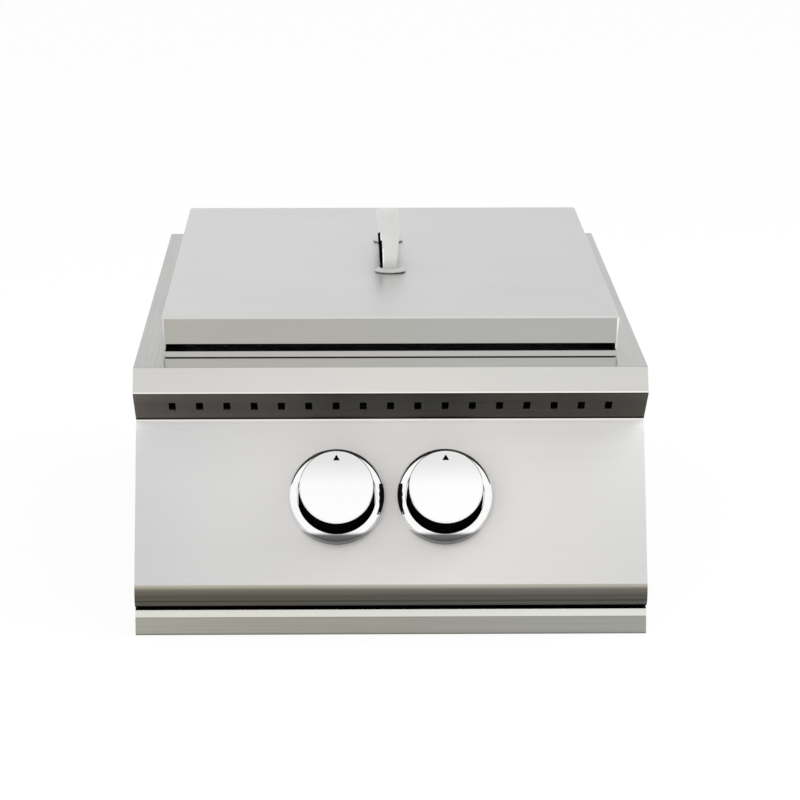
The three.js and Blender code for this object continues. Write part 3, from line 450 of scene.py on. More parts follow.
class RepeatTree:
    """A Geometry Nodes tree that sets copies of an item in a row or ring, and cuts them out or adds them."""

    INPUTS = {
        "Item": "Object", "Count": "Int", "Start": "Vector", "Step": "Vector", "Turn": "Vector",
        "Turn Step": "Vector", "Finish": "Material",
    }

    def __init__(self, mode: Repeat) -> None:
        """Builds the tree.

        Args:
            mode: Whether the items are cut out or added.
        """
        tree = bpy.data.node_groups.new(f"repeat_{mode.value}", "GeometryNodeTree")

        def socket(name: str, kind: str, way: str = "INPUT") -> str:
            """Adds an input or output to the tree and gives its key."""
            made = tree.interface.new_socket(name, in_out=way, socket_type=f"NodeSocket{kind}")
            return made.identifier

        socket("Geometry", "Geometry")
        self.keys = {name: socket(name, kind) for name, kind in self.INPUTS.items()}
        socket("Geometry", "Geometry", "OUTPUT")
        given = add_node(tree, "NodeGroupInput").outputs
        index = add_node(tree, "GeometryNodeInputIndex").outputs[0]

        def stepped(start: str, step: str) -> Socket:
            """Gives start plus index times step."""
            moved = add_node(tree, "ShaderNodeVectorMath", {
                0: given[step], "Scale": index,
            }, operation="SCALE")
            return add_node(tree, "ShaderNodeVectorMath", {0: given[start], 1: moved.outputs[0]}).outputs[0]

        item = add_node(tree, "GeometryNodeObjectInfo", {"Object": given["Item"]}).outputs["Geometry"]
        points = add_node(tree, "GeometryNodePoints", {
            "Count": given["Count"], "Position": stepped("Start", "Step"),
        })
        copies = add_node(tree, "GeometryNodeInstanceOnPoints", {
            "Points": points.outputs[0], "Instance": item, "Rotation": stepped("Turn", "Turn Step"),
        })
        whole = add_node(tree, "GeometryNodeRealizeInstances", {0: copies.outputs[0]}).outputs[0]
        base = {0: given["Geometry"]}
        if mode is Repeat.CUT:
            shaped = add_node(tree, "GeometryNodeMeshBoolean", {**base, 1: whole}, operation="DIFFERENCE")
        else:
            shaped = add_node(tree, "GeometryNodeJoinGeometry", base)
            tree.links.new(whole, shaped.inputs[0])
        plain = add_node(tree, "GeometryNodeRealizeInstances", {0: shaped.outputs[0]})
        dressed = add_node(tree, "GeometryNodeSetMaterial", {
            0: plain.outputs[0], "Material": given["Finish"],
        })
        add_node(tree, "NodeGroupOutput", {0: dressed.outputs[0]})
        self.tree = tree

    def apply(
        self,
        piece: Piece,
        item: Piece,
        finish: Material,
        count: int,
        start: Point3,
        step: Point3 = (0, 0, 0),
        turn: Point3 = (0, 0, 0),
        turn_step: Point3 = (0, 0, 0),
    ) -> None:
        """Runs the tree on a piece and leaves a plain mesh.

        Args:
            piece: What the items are set on.
            item: The item, at the origin.
            finish: Material of the result.
            count: How many items.
            start: Place of the first, in millimetres.
            step: From one to the next, in millimetres.
            turn: Turn of the first, in degrees.
            turn_step: Turn from one to the next, in degrees.
        """
        modifier = piece.modifiers.new("repeat", "NODES")
        modifier.node_group = self.tree
        values = {"Item": item, "Count": count, "Finish": finish}
        for name, row in (("Start", start), ("Step", step)):
            values[name] = [c * MM for c in row]
        for name, row in (("Turn", turn), ("Turn Step", turn_step)):
            values[name] = [radians(c) for c in row]
        for name, value in values.items():
            modifier[self.keys[name]] = value
        item.hide_render = True
        flattened(piece)
        bpy.data.objects.remove(item)
        smooth(piece.data)


# Finishes

@dataclass(frozen=True)
class SheetFinish:
    """Stainless sheet, brushed in one direction: fine streaks, and a painted sheen that drifts from side to
    side.
    """

    name: str
    tones: tuple[str, ...]
    # Where the tones lie from left to right, whose changes are painted sheen; evenly, if none are given.
    stops: tuple[float, ...] = ()
    roughness: float = 0.34
    contrast: float = 0.05
    grain: Grain = Grain.ACROSS
    # Real brushing is 0.1 mm wide; it is drawn 1.3 mm wide and 160 mm long, so that it still shows.
    streak: float = 1.3
    streak_length: float = 160
    streak_range: Point2 = (0.25, 0.75)
    # Faint clouds of lighter and darker steel, nine to the metre.
    cloud: float = 1000 / 9
    cloud_range: Point2 = (0.3, 0.7)
    drift: float = 0.015
    half_width: float = 170
    # Heights in millimetres with the share of tone left there: painted shade and sheen up the face.
    heights: tuple[Point2, ...] = ()
    # Below 1, the brushing scatters part of the light instead of mirroring it.
    metallic: float = 1
    dull_spread: float = 0.15
    bump: float = 0.12
    depth: float = 0.05
    edge_tint: float = 1

    def build(self) -> Material:
        """Builds the material.

        Returns:
            The material.
        """
        material, tree, shader = blank_material(self.name)
        place = add_node(tree, "ShaderNodeTexCoord").outputs["Object"]
        across = add_node(tree, "ShaderNodeSeparateXYZ", {0: place}).outputs[0]
        half = self.half_width * MM
        share = add_node(tree, "ShaderNodeMapRange", {0: across, 1: -half, 2: half})
        ramp = add_node(tree, "ShaderNodeValToRGB", {0: share.outputs[0]})
        ramp.color_ramp.interpolation = "B_SPLINE"
        last = len(self.tones) - 1
        stops = self.stops or [i / last for i in range(last + 1)]
        fill_ramp(ramp, [(stop, hex_colour(tone)) for stop, tone in zip(stops, self.tones)])
        fine, long = 1 / (self.streak * MM), 1 / (self.streak_length * MM)
        scale = (long, fine, fine) if self.grain is Grain.ACROSS else (fine, long, fine)
        stretched = add_node(tree, "ShaderNodeMapping", {"Vector": place, "Scale": scale})
        streaks = add_node(tree, "ShaderNodeTexNoise", {
            "Vector": stretched.outputs[0], "Scale": 1, "Detail": 3, "Roughness": 0.65,
        }).outputs[0]
        clouds = add_node(tree, "ShaderNodeTexNoise", {
            "Vector": place, "Scale": 1 / (self.cloud * MM), "Detail": 1,
        }).outputs[0]
        low, high = self.streak_range
        light = add_node(tree, "ShaderNodeMapRange", {
            0: streaks, 1: low, 2: high, 3: 1 - self.contrast, 4: 1 + self.contrast,
        }).outputs[0]
        least, most = self.cloud_range
        drift = add_node(tree, "ShaderNodeMapRange", {
            0: clouds, 1: least, 2: most, 3: 1 - self.drift, 4: 1 + self.drift,
        }).outputs[0]
        sheen = add_node(tree, "ShaderNodeMath", {0: light, 1: drift}, operation="MULTIPLY").outputs[0]
        # The painted shade up the face scales the tone.
        if self.heights:
            share = height_share(tree, place, self.heights)
            sheen = add_node(tree, "ShaderNodeMath", {0: sheen, 1: share}, operation="MULTIPLY").outputs[0]
        tone = add_node(tree, "ShaderNodeVectorMath", {0: ramp.outputs[0], "Scale": sheen}, operation="SCALE")
        dull = add_node(tree, "ShaderNodeMapRange", {
            0: streaks, 1: low, 2: high,
            3: self.roughness * (1 + self.dull_spread), 4: self.roughness * (1 - self.dull_spread),
        })
        bump = add_node(tree, "ShaderNodeBump", {
            "Strength": self.bump, "Distance": self.depth * MM, "Height": streaks,
        })
        feed(tree, shader, {
            "Base Color": tone.outputs[0], "Roughness": dull.outputs[0], "Normal": bump.outputs[0],
            "Metallic": self.metallic, "Specular Tint": (self.edge_tint, self.edge_tint, self.edge_tint, 1),
        })
        return material


@dataclass(frozen=True)
class GrainFinish:
    """A finish whose tone and surface vary in grains: cast, plated, painted or moulded."""

    name: str
    light: str
    dark: str
    metallic: float
    roughness: float
    grain: float
    bump: float
    cells: bool = False
    coat: float = 0
    spread: float = 0.06
    specular: float = 0.5
    noise_range: Point2 = (0.32, 0.68)
    # How deep the grains are, as a share of their size.
    depth_share: float = 0.125
    # Heights in millimetres with the share of tone left there: painted shade and sheen up the face.
    heights: tuple[Point2, ...] = ()

    def build(self) -> Material:
        """Builds the material.

        Returns:
            The material.
        """
        material, tree, shader = blank_material(self.name)
        place = add_node(tree, "ShaderNodeTexCoord").outputs["Object"]
        size = {"Vector": place, "Scale": 1 / (self.grain * MM)}
        if self.cells:
            cells = add_node(tree, "ShaderNodeTexVoronoi", size).outputs["Color"]
            grains = add_node(tree, "ShaderNodeSeparateXYZ", {0: cells}).outputs[0]
        else:
            grains = add_node(tree, "ShaderNodeTexNoise", {**size, "Detail": 4}).outputs[0]
        low, high = (0, 1) if self.cells else self.noise_range
        ramp = add_node(tree, "ShaderNodeValToRGB", {0: grains})
        fill_ramp(ramp, [(low, hex_colour(self.dark)), (high, hex_colour(self.light))])
        tone = ramp.outputs[0]
        if self.heights:
            share = height_share(tree, place, self.heights)
            tone = add_node(tree, "ShaderNodeVectorMath", {
                0: tone, "Scale": share,
            }, operation="SCALE").outputs[0]
        dull = add_node(tree, "ShaderNodeMapRange", {
            0: grains, 1: low, 2: high, 3: self.roughness + self.spread, 4: self.roughness - self.spread,
        })
        bump = add_node(tree, "ShaderNodeBump", {
            "Strength": self.bump, "Distance": self.grain * MM * self.depth_share, "Height": grains,
        })
        feed(tree, shader, {
            "Base Color": tone, "Roughness": dull.outputs[0], "Normal": bump.outputs[0],
            "Metallic": self.metallic, "Coat Weight": self.coat, "Specular IOR Level": self.specular,
        })
        return material


def blank_material(name: str) -> tuple[Material, Nodes, bpy.types.Node]:
    """Makes a material and gives it with its tree and its shader.

    Args:
        name: The material's name.

    Returns:
        The material, its tree and its shader.
    """
    material = bpy.data.materials.new(name)
    material.use_nodes = True
    tree = material.node_tree
    shader = tree.nodes["Principled BSDF"]
    return material, tree, shader


class Finishes:
    """All finishes of the burner, each made once."""

    def __init__(self) -> None:
        """Builds every material."""
        # Brushed 304 sheet of the cover's top: pale, cool and even, with long soft streaks.
        self.cover_top = SheetFinish(
            "brushed_stainless_cover_top", ("#cac9c9", "#c6c6c5", "#c1c2c1"), contrast=0.012,
        ).build()
        # The same sheet on the cover's skirts, painted a tone darker and warmer as the shade of upright
        # faces.
        self.cover_skirt = SheetFinish(
            "brushed_stainless_skirt", ("#b0b0a9", "#b2b0a8", "#b0b0ad", "#b2b1ae"), (0, 0.3, 0.6, 1),
            contrast=0.02,
        ).build()
        # Rough inner faces of the cover and the housing, painted near black as the shade in the gaps.
        self.inside = SheetFinish(
            "mill_stainless_inside", ("#1c1b1a", "#1c1b1a"), roughness=0.42, contrast=0.06,
        ).build()
        # Painted highlight on the bends of the cover: one soft line, brightest right of the middle.
        self.cover_bend = SheetFinish(
            "brushed_stainless_cover_bend", ("#cdccca", "#d4d4d2", "#d8d8d6", "#d2d2d0"), (0, 0.12, 0.88, 1),
            roughness=0.3, contrast=0.01,
        ).build()
        # Painted highlight: a bright line on the nose's bend, the vent's lip and the cover's right corner.
        self.bend = SheetFinish(
            "burnished_stainless_bend", ("#ebe9e2", "#f2eee8", "#f6f3ec"), roughness=0.24, contrast=0.02,
        ).build()
        # Brushed sheet of the counter flanges, with a painted sheen a little lighter to the right.
        self.deck = SheetFinish(
            "brushed_stainless_deck", ("#b0b0ad", "#b2b2af", "#b5b5b2"), contrast=0.015, grain=Grain.ALONG,
        ).build()
        # Brushed sheet of the sloped strip, with a painted sheen brightest towards the middle.
        self.strip = SheetFinish(
            "brushed_stainless_strip", ("#d2d1ce", "#dbd9d6", "#dcdbd5", "#d3d2d0"), (0, 0.3, 0.55, 1),
            contrast=0.012,
        ).build()
        # Painted shade: the sheet under the nose, darkened as in shade, with darker painted lines at its foot
        # and top; its strong brushing shows in a deep warm grey.
        self.vent = SheetFinish(
            "shaded_stainless", ("#6a635e", "#5e5a53", "#34332e", "#3c392f", "#4d4941"),
            (0, 0.12, 0.5, 0.85, 1), roughness=0.42, contrast=0.1, streak=1.1, edge_tint=0.8, heights=(
                (138.2, 0.05), (140, 0.08), (140.6, 0.78), (144, 0.74), (154, 0.72), (157.5, 0.9), (160, 1),
                (162.6, 1), (163.2, 0.6),
            ),
        ).build()
        # Brushed sheet of the control panel, whose painted sheen climbs from left to right, and whose tone is
        # painted lighter towards the top to cancel the shade under the nose.
        self.panel = SheetFinish(
            "brushed_stainless_panel", ("#d5d5d5", "#e5e4e3", "#f4f2ef", "#e9e7e4", "#e4e4e2"),
            (0, 0.25, 0.6, 0.8, 1), roughness=0.36, contrast=0.012, metallic=0.3, bump=0.03, heights=(
                (36, 0.6), (60, 0.61), (90, 0.65), (115, 0.71), (123.4, 0.76), (128.2, 0.81), (131.4, 0.87),
                (134.6, 1),
            ),
        ).build()
        # Sheet of the panel's curl: olive grey, with painted shade where it turns under and one painted light
        # line.
        self.curl = SheetFinish(
            "rolled_stainless_curl", ("#beb9a8", "#bcb9ab", "#bdbaae"), roughness=0.3, contrast=0.06,
            heights=(
                (20.4, 0), (21.2, 0), (21.7, 0.15), (22.8, 0.22), (23.7, 0.18), (24.5, 0.13), (25.3, 0.11),
                (26, 0.2), (26.9, 0.2), (28.5, 0.18), (30.3, 0.24), (32, 0.29), (33, 0.33), (33.6, 0.44),
                (34.4, 0.68), (35.2, 0.86), (36.4, 0.95),
            ),
        ).build()
        # Brushed sheet of the drip tray's front, with streaks plain to see and a painted shadow along its
        # lower edge.
        self.tray = SheetFinish(
            "brushed_stainless_tray", ("#a8a79c", "#9c9c93", "#a2a19d"), contrast=0.09,
            heights=((0.3, 0.3), (1.1, 0.8), (2, 1), (11.4, 1), (12.2, 0.85)),
        ).build()
        # The tray's upper edge, folded to a slope, painted a lighter copy of the tray's sheet as the sheen of
        # the bright room.
        self.tray_edge = SheetFinish(
            "brushed_stainless_tray_edge", ("#dddcd5", "#dfdfd8", "#e1e1dc"), roughness=0.2, contrast=0.015,
        ).build()
        # Brushed sheet of the ledge and the well that holds the burners.
        self.well = SheetFinish(
            "brushed_stainless_well", ("#b9b8b6", "#b9b8b6"), roughness=0.3, contrast=0.03,
        ).build()
        # Bright chrome plate: a clean mirror with a trace of haze.
        self.chrome = GrainFinish("polished_chrome", "#f6f6f6", "#f2f2f2", 1, 0.07, 3, 0, spread=0.01).build()
        # The same plate on the bezels, with painted shade where their foot turns down to the panel.
        self.bezel = GrainFinish(
            "polished_chrome_bezel", "#fbfbfb", "#f8f8f8", 1, 0.06, 3, 0, spread=0.01,
            heights=((60.3, 0.04), (64, 0.07), (66.5, 0.1), (69.3, 0.16), (70.6, 0.75), (71.5, 1)),
        ).build()
        # Painted reflection: the same plate, near black where a bezel would mirror the dark wall of its
        # neighbour.
        self.shade = GrainFinish(
            "polished_chrome_shade", "#0b0b0a", "#080808", 0, 0.3, 3, 0, spread=0.01, specular=0.1,
        ).build()
        # Spun knob face: nearly white, with a painted shade towards its top.
        self.knob_face = SheetFinish(
            "spun_steel_knob_face", ("#fdfdfd", "#fdfdfd"), roughness=0.16, contrast=0.006,
            heights=((82, 1), (106, 0.99), (119, 0.81), (127, 0.78)),
        ).build()
        # Brushed grip of the handle, a shade lighter than the cover under it, with painted shade towards the
        # top of the bow.
        self.grip = SheetFinish(
            "brushed_stainless_grip", ("#dadad8", "#dbdbda", "#d5d5d3"), contrast=0.012, grain=Grain.ALONG,
            half_width=12, heights=((213, 1), (236, 1), (245, 0.9)),
        ).build()
        # Painted shadow, near black: the right part of the low rim of the handle's feet, and the grip's
        # underside.
        self.washer = GrainFinish("dark_nylon", "#1c1c1e", "#131315", 0, 0.5, 0.7, 0.04).build()
        # Black: the knob's wall and the ink of its pointer, and painted shade on the grip's left flank.
        self.black = GrainFinish("satin_black", "#060606", "#030303", 0, 0.45, 0.6, 0.02, specular=0).build()
        # Painted shadow: a near-black ledge in the gap over the tray and under the curl, where the gap's
        # shade falls.
        self.ledge = GrainFinish(
            "blackened_stainless_ledge", "#080707", "#050505", 0, 0.8, 1, 0.02, specular=0,
        ).build()
        # Hot-dip galvanised sheet: flat crystals a centimetre across, each at its own grey.
        self.zinc = GrainFinish(
            "galvanised_steel", "#b9bdbf", "#a2a7a9", 1, 0.42, 11, 0.02, cells=True, spread=0.05,
        ).build()
        # Drawn stainless rod: bright, with faint die lines.
        self.rod = GrainFinish("stainless_rod", "#d8d8d6", "#cacac8", 1, 0.22, 1.6, 0.03).build()
        # Turned brass: warm, with fine tool marks.
        self.brass = GrainFinish("machined_brass", "#c7a260", "#b58f50", 1, 0.3, 1.2, 0.05).build()
        # Sand-cast aluminium: a dull, pebbled skin.
        self.cast = GrainFinish("cast_aluminium", "#989a9a", "#7d8080", 1, 0.56, 1.4, 0.35).build()
        # Matte vitreous enamel: near black, with a faint orange peel.
        self.enamel = GrainFinish("black_enamel", "#29292b", "#1d1d1f", 0, 0.38, 2.2, 0.12, coat=0.25).build()
        # Glazed alumina of the electrodes.
        self.ceramic = GrainFinish("white_ceramic", "#efece4", "#e4e0d6", 0, 0.3, 0.9, 0.04, coat=0.4).build()
        # Moulded silicone sleeve of the spark leads.
        self.silicone = GrainFinish("red_silicone", "#97342a", "#842b22", 0, 0.55, 0.8, 0.06).build()
        # Zinc-plated screws.
        self.screw = GrainFinish("plated_screw", "#c9cacb", "#b4b6b7", 1, 0.3, 0.9, 0.05).build()


def dress(
    piece: Piece,
    body: str,
    finishes: Sequence[Material],
    stands_for: Sequence[str] = (),
) -> None:
    """Gives a piece its finishes and its body, and hides the CAD nodes that it stands for.

    Args:
        piece: The piece.
        body: The CAD body it rides on.
        finishes: Materials by slot number.
        stands_for: CAD nodes it replaces.
    """
    numbers = [face.material_index for face in piece.data.polygons]
    piece.data.materials.clear()
    for finish in finishes:
        piece.data.materials.append(finish)
    top = len(finishes) - 1
    for face, number in zip(piece.data.polygons, numbers):
        face.material_index = min(number, top)
    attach(piece, body)
    if stands_for:
        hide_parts(*stands_for)
    log.info("%s: %d faces, on %s", piece.name, len(piece.data.polygons), body)


def dress_nodes(finish: Material, *nodes: str) -> None:
    """Gives CAD nodes that stay in view their finish.

    Args:
        finish: The material.
        nodes: Names of the nodes.
    """
    for node in nodes:
        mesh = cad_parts[node].data
        mesh.materials.clear()
        mesh.materials.append(finish)
        log.info("%s: CAD node kept", node)


# Items that repeat

def prism(name: str, outline: Sequence[Point2], low: float, high: float) -> Piece:
    """Makes an upright prism of an outline."""
    return loft(name, [[(x, y, z) for x, y in outline] for z in (low, high)], looped=False)


def slot_cutter(width: float, length: float, corner: float, depth: float) -> Piece:
    """Makes a cutter for a rounded slot across X and Y, which reaches a depth to each side."""
    return prism("cutter", rounded_loop(width / 2, length / 2, corner, 0, 5), -depth, depth)


def screw_head(radius: float, height: float) -> Piece:
    """Makes a button-head screw with a hexagon socket, standing on the origin.

    Args:
        radius: Radius of its head.
        height: Height of its head.

    Returns:
        The screw.
    """
    sides, dome = 18, 4
    rings = [(radius, 0), (radius, height * 0.25), (radius * 0.86, height * 0.72), (radius * 0.55, height),
             (radius * 0.5, height), (radius * 0.46, height * 0.35)]
    rows = []
    for number, (size, z) in enumerate(rings):
        row = []
        for angle in around(sides):
            flat = cos(pi / 6) / cos(angle % (pi / 3) - pi / 6)
            reach = size * flat if number >= dome else size
            row.append((reach * cos(angle), reach * sin(angle), z))
        rows.append(row)
    return loft("fastener", rows, looped=False)


@dataclass
class Workshop:
    """What every sub-assembly builds with."""

    finishes: Finishes
    cut: RepeatTree
    add: RepeatTree
    screw_radius: float = 3.4
    screw_height: float = 2

    def screws(self, name: str, body: str, rows: Sequence[tuple[int, Point3, Point3, Point3]]) -> None:
        """Sets rows of screws as one piece.

        Args:
            name: The piece's name.
            body: The CAD body it rides on.
            rows: Count, start, step and turn of each row, with two screws or more in the first.
        """
        first = screw_head(self.screw_radius, self.screw_height)
        first.name = name
        count, start, step, turn = rows[0]
        first.data.transform(Matrix.Translation(Vector(start) * MM) @ euler(turn))
        onward = tuple(a + b for a, b in zip(start, step))
        for row in ((count - 1, onward, step, turn), *rows[1:]):
            self.add.apply(first, screw_head(self.screw_radius, self.screw_height), self.finishes.screw, *row)
        dress(first, body, [self.finishes.screw])


def euler(turn: Point3) -> Matrix:
    """Gives the turn of X, Y and Z angles in degrees as a matrix."""
    x, y, z = (Matrix.Rotation(radians(angle), 4, axis) for angle, axis in zip(turn, "XYZ"))
    return z @ y @ x


@dataclass
class SubAssembly:
    """Pieces that are built together, with what the workshop has."""

    shop: Workshop

    @property
    def finishes(self) -> Finishes:
        """The workshop's finishes."""
        return self.shop.finishes


# The burner's sheet metal

@dataclass
class Deck(SubAssembly):
    """Counter flanges with their raised rim, and the sheets that hang under them."""

    edge: float = 0.35
    flange: float = 12
    # How far the cheeks' inner edges cover the body's front edge, so that no light comes between them.
    overlap: float = 1.3
    # Front faces this close to a cheek's rear edge take painted shade, like its inner side.
    lining: float = 1.6
    # Past these places, the body's faces that look inwards or forwards take painted shade.
    side_zone: float = 140
    front_zone: float = -200
    # First height and step of the screws.
    rear_row: Point2 = (34, 56)
    side_row: Point2 = (40, 52)
    rear_inset: float = 8
    side_inset: float = 7
    front_row: float = -204

    def build(self) -> None:
        """Builds the deck and the housing's sheets."""
        finishes = self.finishes
        deck = refined("deck_frame", self.edge, 3)
        strip_top = box_of("front_hood")[1].z * MM
        # The rim's front face takes the skirt's painted shade.
        for face in deck.data.polygons:
            face.material_index = int(face.normal.y < -0.6 and face.center.z > strip_top)
        dress(deck, "root", [finishes.deck, finishes.cover_skirt], ["deck_frame"])
        for side in Side:
            self.cheek(side)
        brackets = [f"{side.label}_manifold_bracket" for side in Side]
        for node in ("body_shell", "rear_panel", "heat_shield", *brackets):
            part = refined(node, self.edge)
            for face in part.data.polygons:
                inward = abs(face.center.x) > self.side_zone * MM and face.normal.x * face.center.x < 0
                front = face.normal.y < -0.5 and face.center.y < self.front_zone * MM
                face.material_index = int(node == "body_shell" and (inward or front))
            dress(part, "root", [finishes.zinc, finishes.inside], [node])
        for side in Side:
            node = f"{side.label}_runner"
            dress(refined(node, self.edge), "root", [finishes.zinc], [node])
        self.fasten()

    def cheek(self, side: Side) -> None:
        """Builds the plate at one side of the front, with painted shade where it faces inwards.

        Args:
            side: Which side.
        """
        node = f"{side.label}_cheek"
        cheek = refined(node, self.edge)
        inner = min(abs(point.co.x) for point in cheek.data.vertices)
        for point in cheek.data.vertices:
            if abs(point.co.x) < inner + 0.1 * MM:
                point.co.x -= side.value * self.overlap * MM
        counter = box_of(node)[1].y * MM
        for face in cheek.data.polygons:
            turned_in = face.normal.y < -0.5 and face.center.y > counter - self.lining * MM
            face.material_index = int(turned_in or face.normal.x * side.value < -0.1)
        finishes = self.finishes
        dress(cheek, "root", [finishes.panel, finishes.inside], [node])

    def fasten(self) -> None:
        """Sets the screws of the rear panel and the body's sides, in rows of three."""
        wall, rear = box_of("body_shell")[1].x - self.flange, box_of("rear_panel")[1].y
        rows: list[tuple[int, Point3, Point3, Point3]] = []
        for side in (-1, 1):
            low, step = self.rear_row
            rows.append((3, (side * (wall - self.rear_inset), rear, low), (0, 0, step), (-90, 0, 0)))
            low, step = self.side_row
            for y in (rear - self.side_inset, self.front_row):
                rows.append((3, (side * wall, y, low), (0, 0, step), (0, side * 90, 0)))
        self.shop.screws("housing_screws", "root", rows)


@dataclass
class FrontHood(SubAssembly):
    """Tucked flange, sloped strip, nose and vent face, folded from one sheet."""

    sheet: float = 1.2
    bend: float = 1.5
    tuck: float = 25
    slope_run: float = 11.2
    slope_drop: float = 15.8
    vent_run: float = 38.9
    vent_drop: float = 25
    slots: int = 17
    slot_pitch: float = 18.1
    slot_width: float = 4.7
    slot_length: float = 12.9
    slot_corner: float = 0.9
    slot_share: float = 0.48
    cutter_reach: float = 3
    # The painted highlight line of the nose: its reach over the nose's edge, and where the painted shade
    # under it starts.
    shine: float = 1.2
    shade_start: float = 0.1
    rim_rise: float = 5.9
    weld_lap: float = 4
    weld_drop: float = 0.2
    weld_out: float = 0.06
    weld_sheet: float = 0.5
    # Section of the folded lip, from the vent face's foot; it carries a painted highlight line.
    lip_section: tuple[Point2, ...] = ((-0.75, 0.05), (-0.95, -1.05), (-0.7, -1.05), (-0.4, -0.15))

    def build(self) -> None:
        """Builds the hood, cuts its slots and gives strip and vent face their own finish."""
        low, high = box_of("front_hood")
        deck_low, deck_high = box_of("deck_frame")
        nose_y, top = low.y, high.z
        slope = self.slope_run / self.slope_drop
        strip_y = deck_low.y - (deck_high.z - self.rim_rise - top) * slope
        nose_z = top - (strip_y - nose_y) / slope
        foot_y, foot_z = nose_y + self.vent_run, low.z
        path = [
            (strip_y + self.tuck, top), (strip_y, top), (nose_y, nose_z), (foot_y, foot_z), (high.y, foot_z),
        ]
        hood = FoldedSheet(path, self.sheet, self.bend, steps=14).build("front_hood_skin", high.x)
        finishes = self.finishes
        cutter = slot_cutter(self.slot_width, self.slot_length, self.slot_corner, self.cutter_reach)
        start = (
            -self.slot_pitch * (self.slots - 1) / 2,
            nose_y + self.vent_run * self.slot_share,
            nose_z - self.vent_drop * self.slot_share,
        )
        angle = degrees(atan2(self.vent_drop, self.vent_run))
        self.shop.cut.apply(
            hood, cutter, finishes.strip, self.slots, start, (self.slot_pitch, 0, 0), (-angle, 0, 0),
        )
        # Faces under the nose take the vent's painted shade, and a band just over the nose's edge a painted
        # highlight line.
        for face in hood.data.polygons:
            above = face.center.z / MM - nose_z
            front = face.normal.y < -0.75
            in_painted_shade = above < -self.shine or face.normal.z < -0.2 or front and above < self.shade_start
            face.material_index = 1 if in_painted_shade else 2 if front and above < self.shine else 0
        slots = [finishes.strip, finishes.vent, finishes.bend]
        dress(hood, "root", slots, ["front_hood"])
        edge_z = deck_high.z - self.rim_rise - self.weld_drop
        out = deck_low.y - self.weld_out - self.weld_drop * slope
        lap_y, lap_z, sheet = out - self.weld_lap * slope, edge_z - self.weld_lap, self.weld_sheet
        weld = [(out, edge_z), (lap_y, lap_z), (lap_y + sheet, lap_z), (out + sheet / 10, edge_z - sheet)]
        lip = [(foot_y + y, foot_z + z) for y, z in self.lip_section]
        for name, section, finish in (("deck_weld", weld, finishes.strip), ("vent_lip", lip, finishes.bend)):
            rings = [[(x, y, z) for y, z in section] for x in (-high.x, high.x)]
            dress(loft(name, rings, looped=False), "root", [finish])


@dataclass(frozen=True)
class PanelFace:
    """The slanted face that carries the knobs."""

    top_y: float
    top_z: float
    slant: float = 25.4

    def place(self, x: float, down: float) -> Matrix:
        """Gives the frame of a point on the face, whose Z leaves the face.

        Args:
            x: Where it lies across.
            down: How far down the face it lies.

        Returns:
            The frame in millimetres.
        """
        lean = radians(self.slant)
        point = Vector((x, self.top_y - down * sin(lean), self.top_z - down * cos(lean)))
        return Matrix.Translation(point) @ Matrix.Rotation(pi / 2 - lean, 4, "X")


@dataclass
class ControlPanel(SubAssembly):
    """Slanted panel with a rolled lower edge."""

    sheet: float = 1.2
    bend: float = 1.5
    flange: float = 14
    length: float = 112.9
    curl: float = 12
    curl_turn: float = 175
    curl_steps: int = 28
    spacing: float = 72
    down: float = 54.3
    hole: float = 28
    cutter_reach: float = 8
    # The ledge under the curl, which takes a painted shadow, as shares of the curl's radius from its middle.
    ledge_out_share: float = 0.6
    ledge_down_share: float = 0.75

    def face(self) -> PanelFace:
        """Gives the face of the panel."""
        high = box_of("control_panel")[1]
        return PanelFace(high.y - self.flange, high.z)

    def build(self) -> None:
        """Builds the panel with the holes for the stems."""
        face = self.face()
        lean = radians(face.slant)
        foot = (face.top_y - self.length * sin(lean), face.top_z - self.length * cos(lean))
        middle = (foot[0] + self.curl * cos(lean), foot[1] - self.curl * sin(lean))
        angles = [pi - lean + radians(self.curl_turn) * i / self.curl_steps
                  for i in range(self.curl_steps + 1)]
        arc = [(middle[0] + self.curl * cos(a), middle[1] + self.curl * sin(a)) for a in angles]
        corner = (face.top_y, face.top_z)
        top = filleted([(face.top_y + self.flange, face.top_z), corner, foot], self.bend, 5)
        half = box_of("control_panel")[1].x
        panel = FoldedSheet(top[:-1] + arc, self.sheet, bend=0.01, steps=1).build("control_panel_skin", half)
        finishes = self.finishes
        cutter = slot_cutter(self.hole, self.hole, self.hole / 2 - 0.1, self.cutter_reach)
        spot = face.place(-self.spacing / 2, self.down).translation
        self.shop.cut.apply(
            panel, cutter, finishes.panel, 2, tuple(spot), (self.spacing, 0, 0), (90 - face.slant, 0, 0),
        )
        # The panel's sheet above the curl, the curl with its painted shade, and a painted shadow on the ledge
        # under it.
        for part in panel.data.polygons:
            y, z = part.center.y / MM, part.center.z / MM
            behind_front = middle[0] - y < self.curl * self.ledge_out_share
            under = behind_front and z < middle[1] - self.curl * self.ledge_down_share
            part.material_index = 0 if z > foot[1] + 1 else 2 if under else 1
        slots = [finishes.panel, finishes.curl, finishes.ledge]
        dress(panel, "root", slots, ["control_panel"])


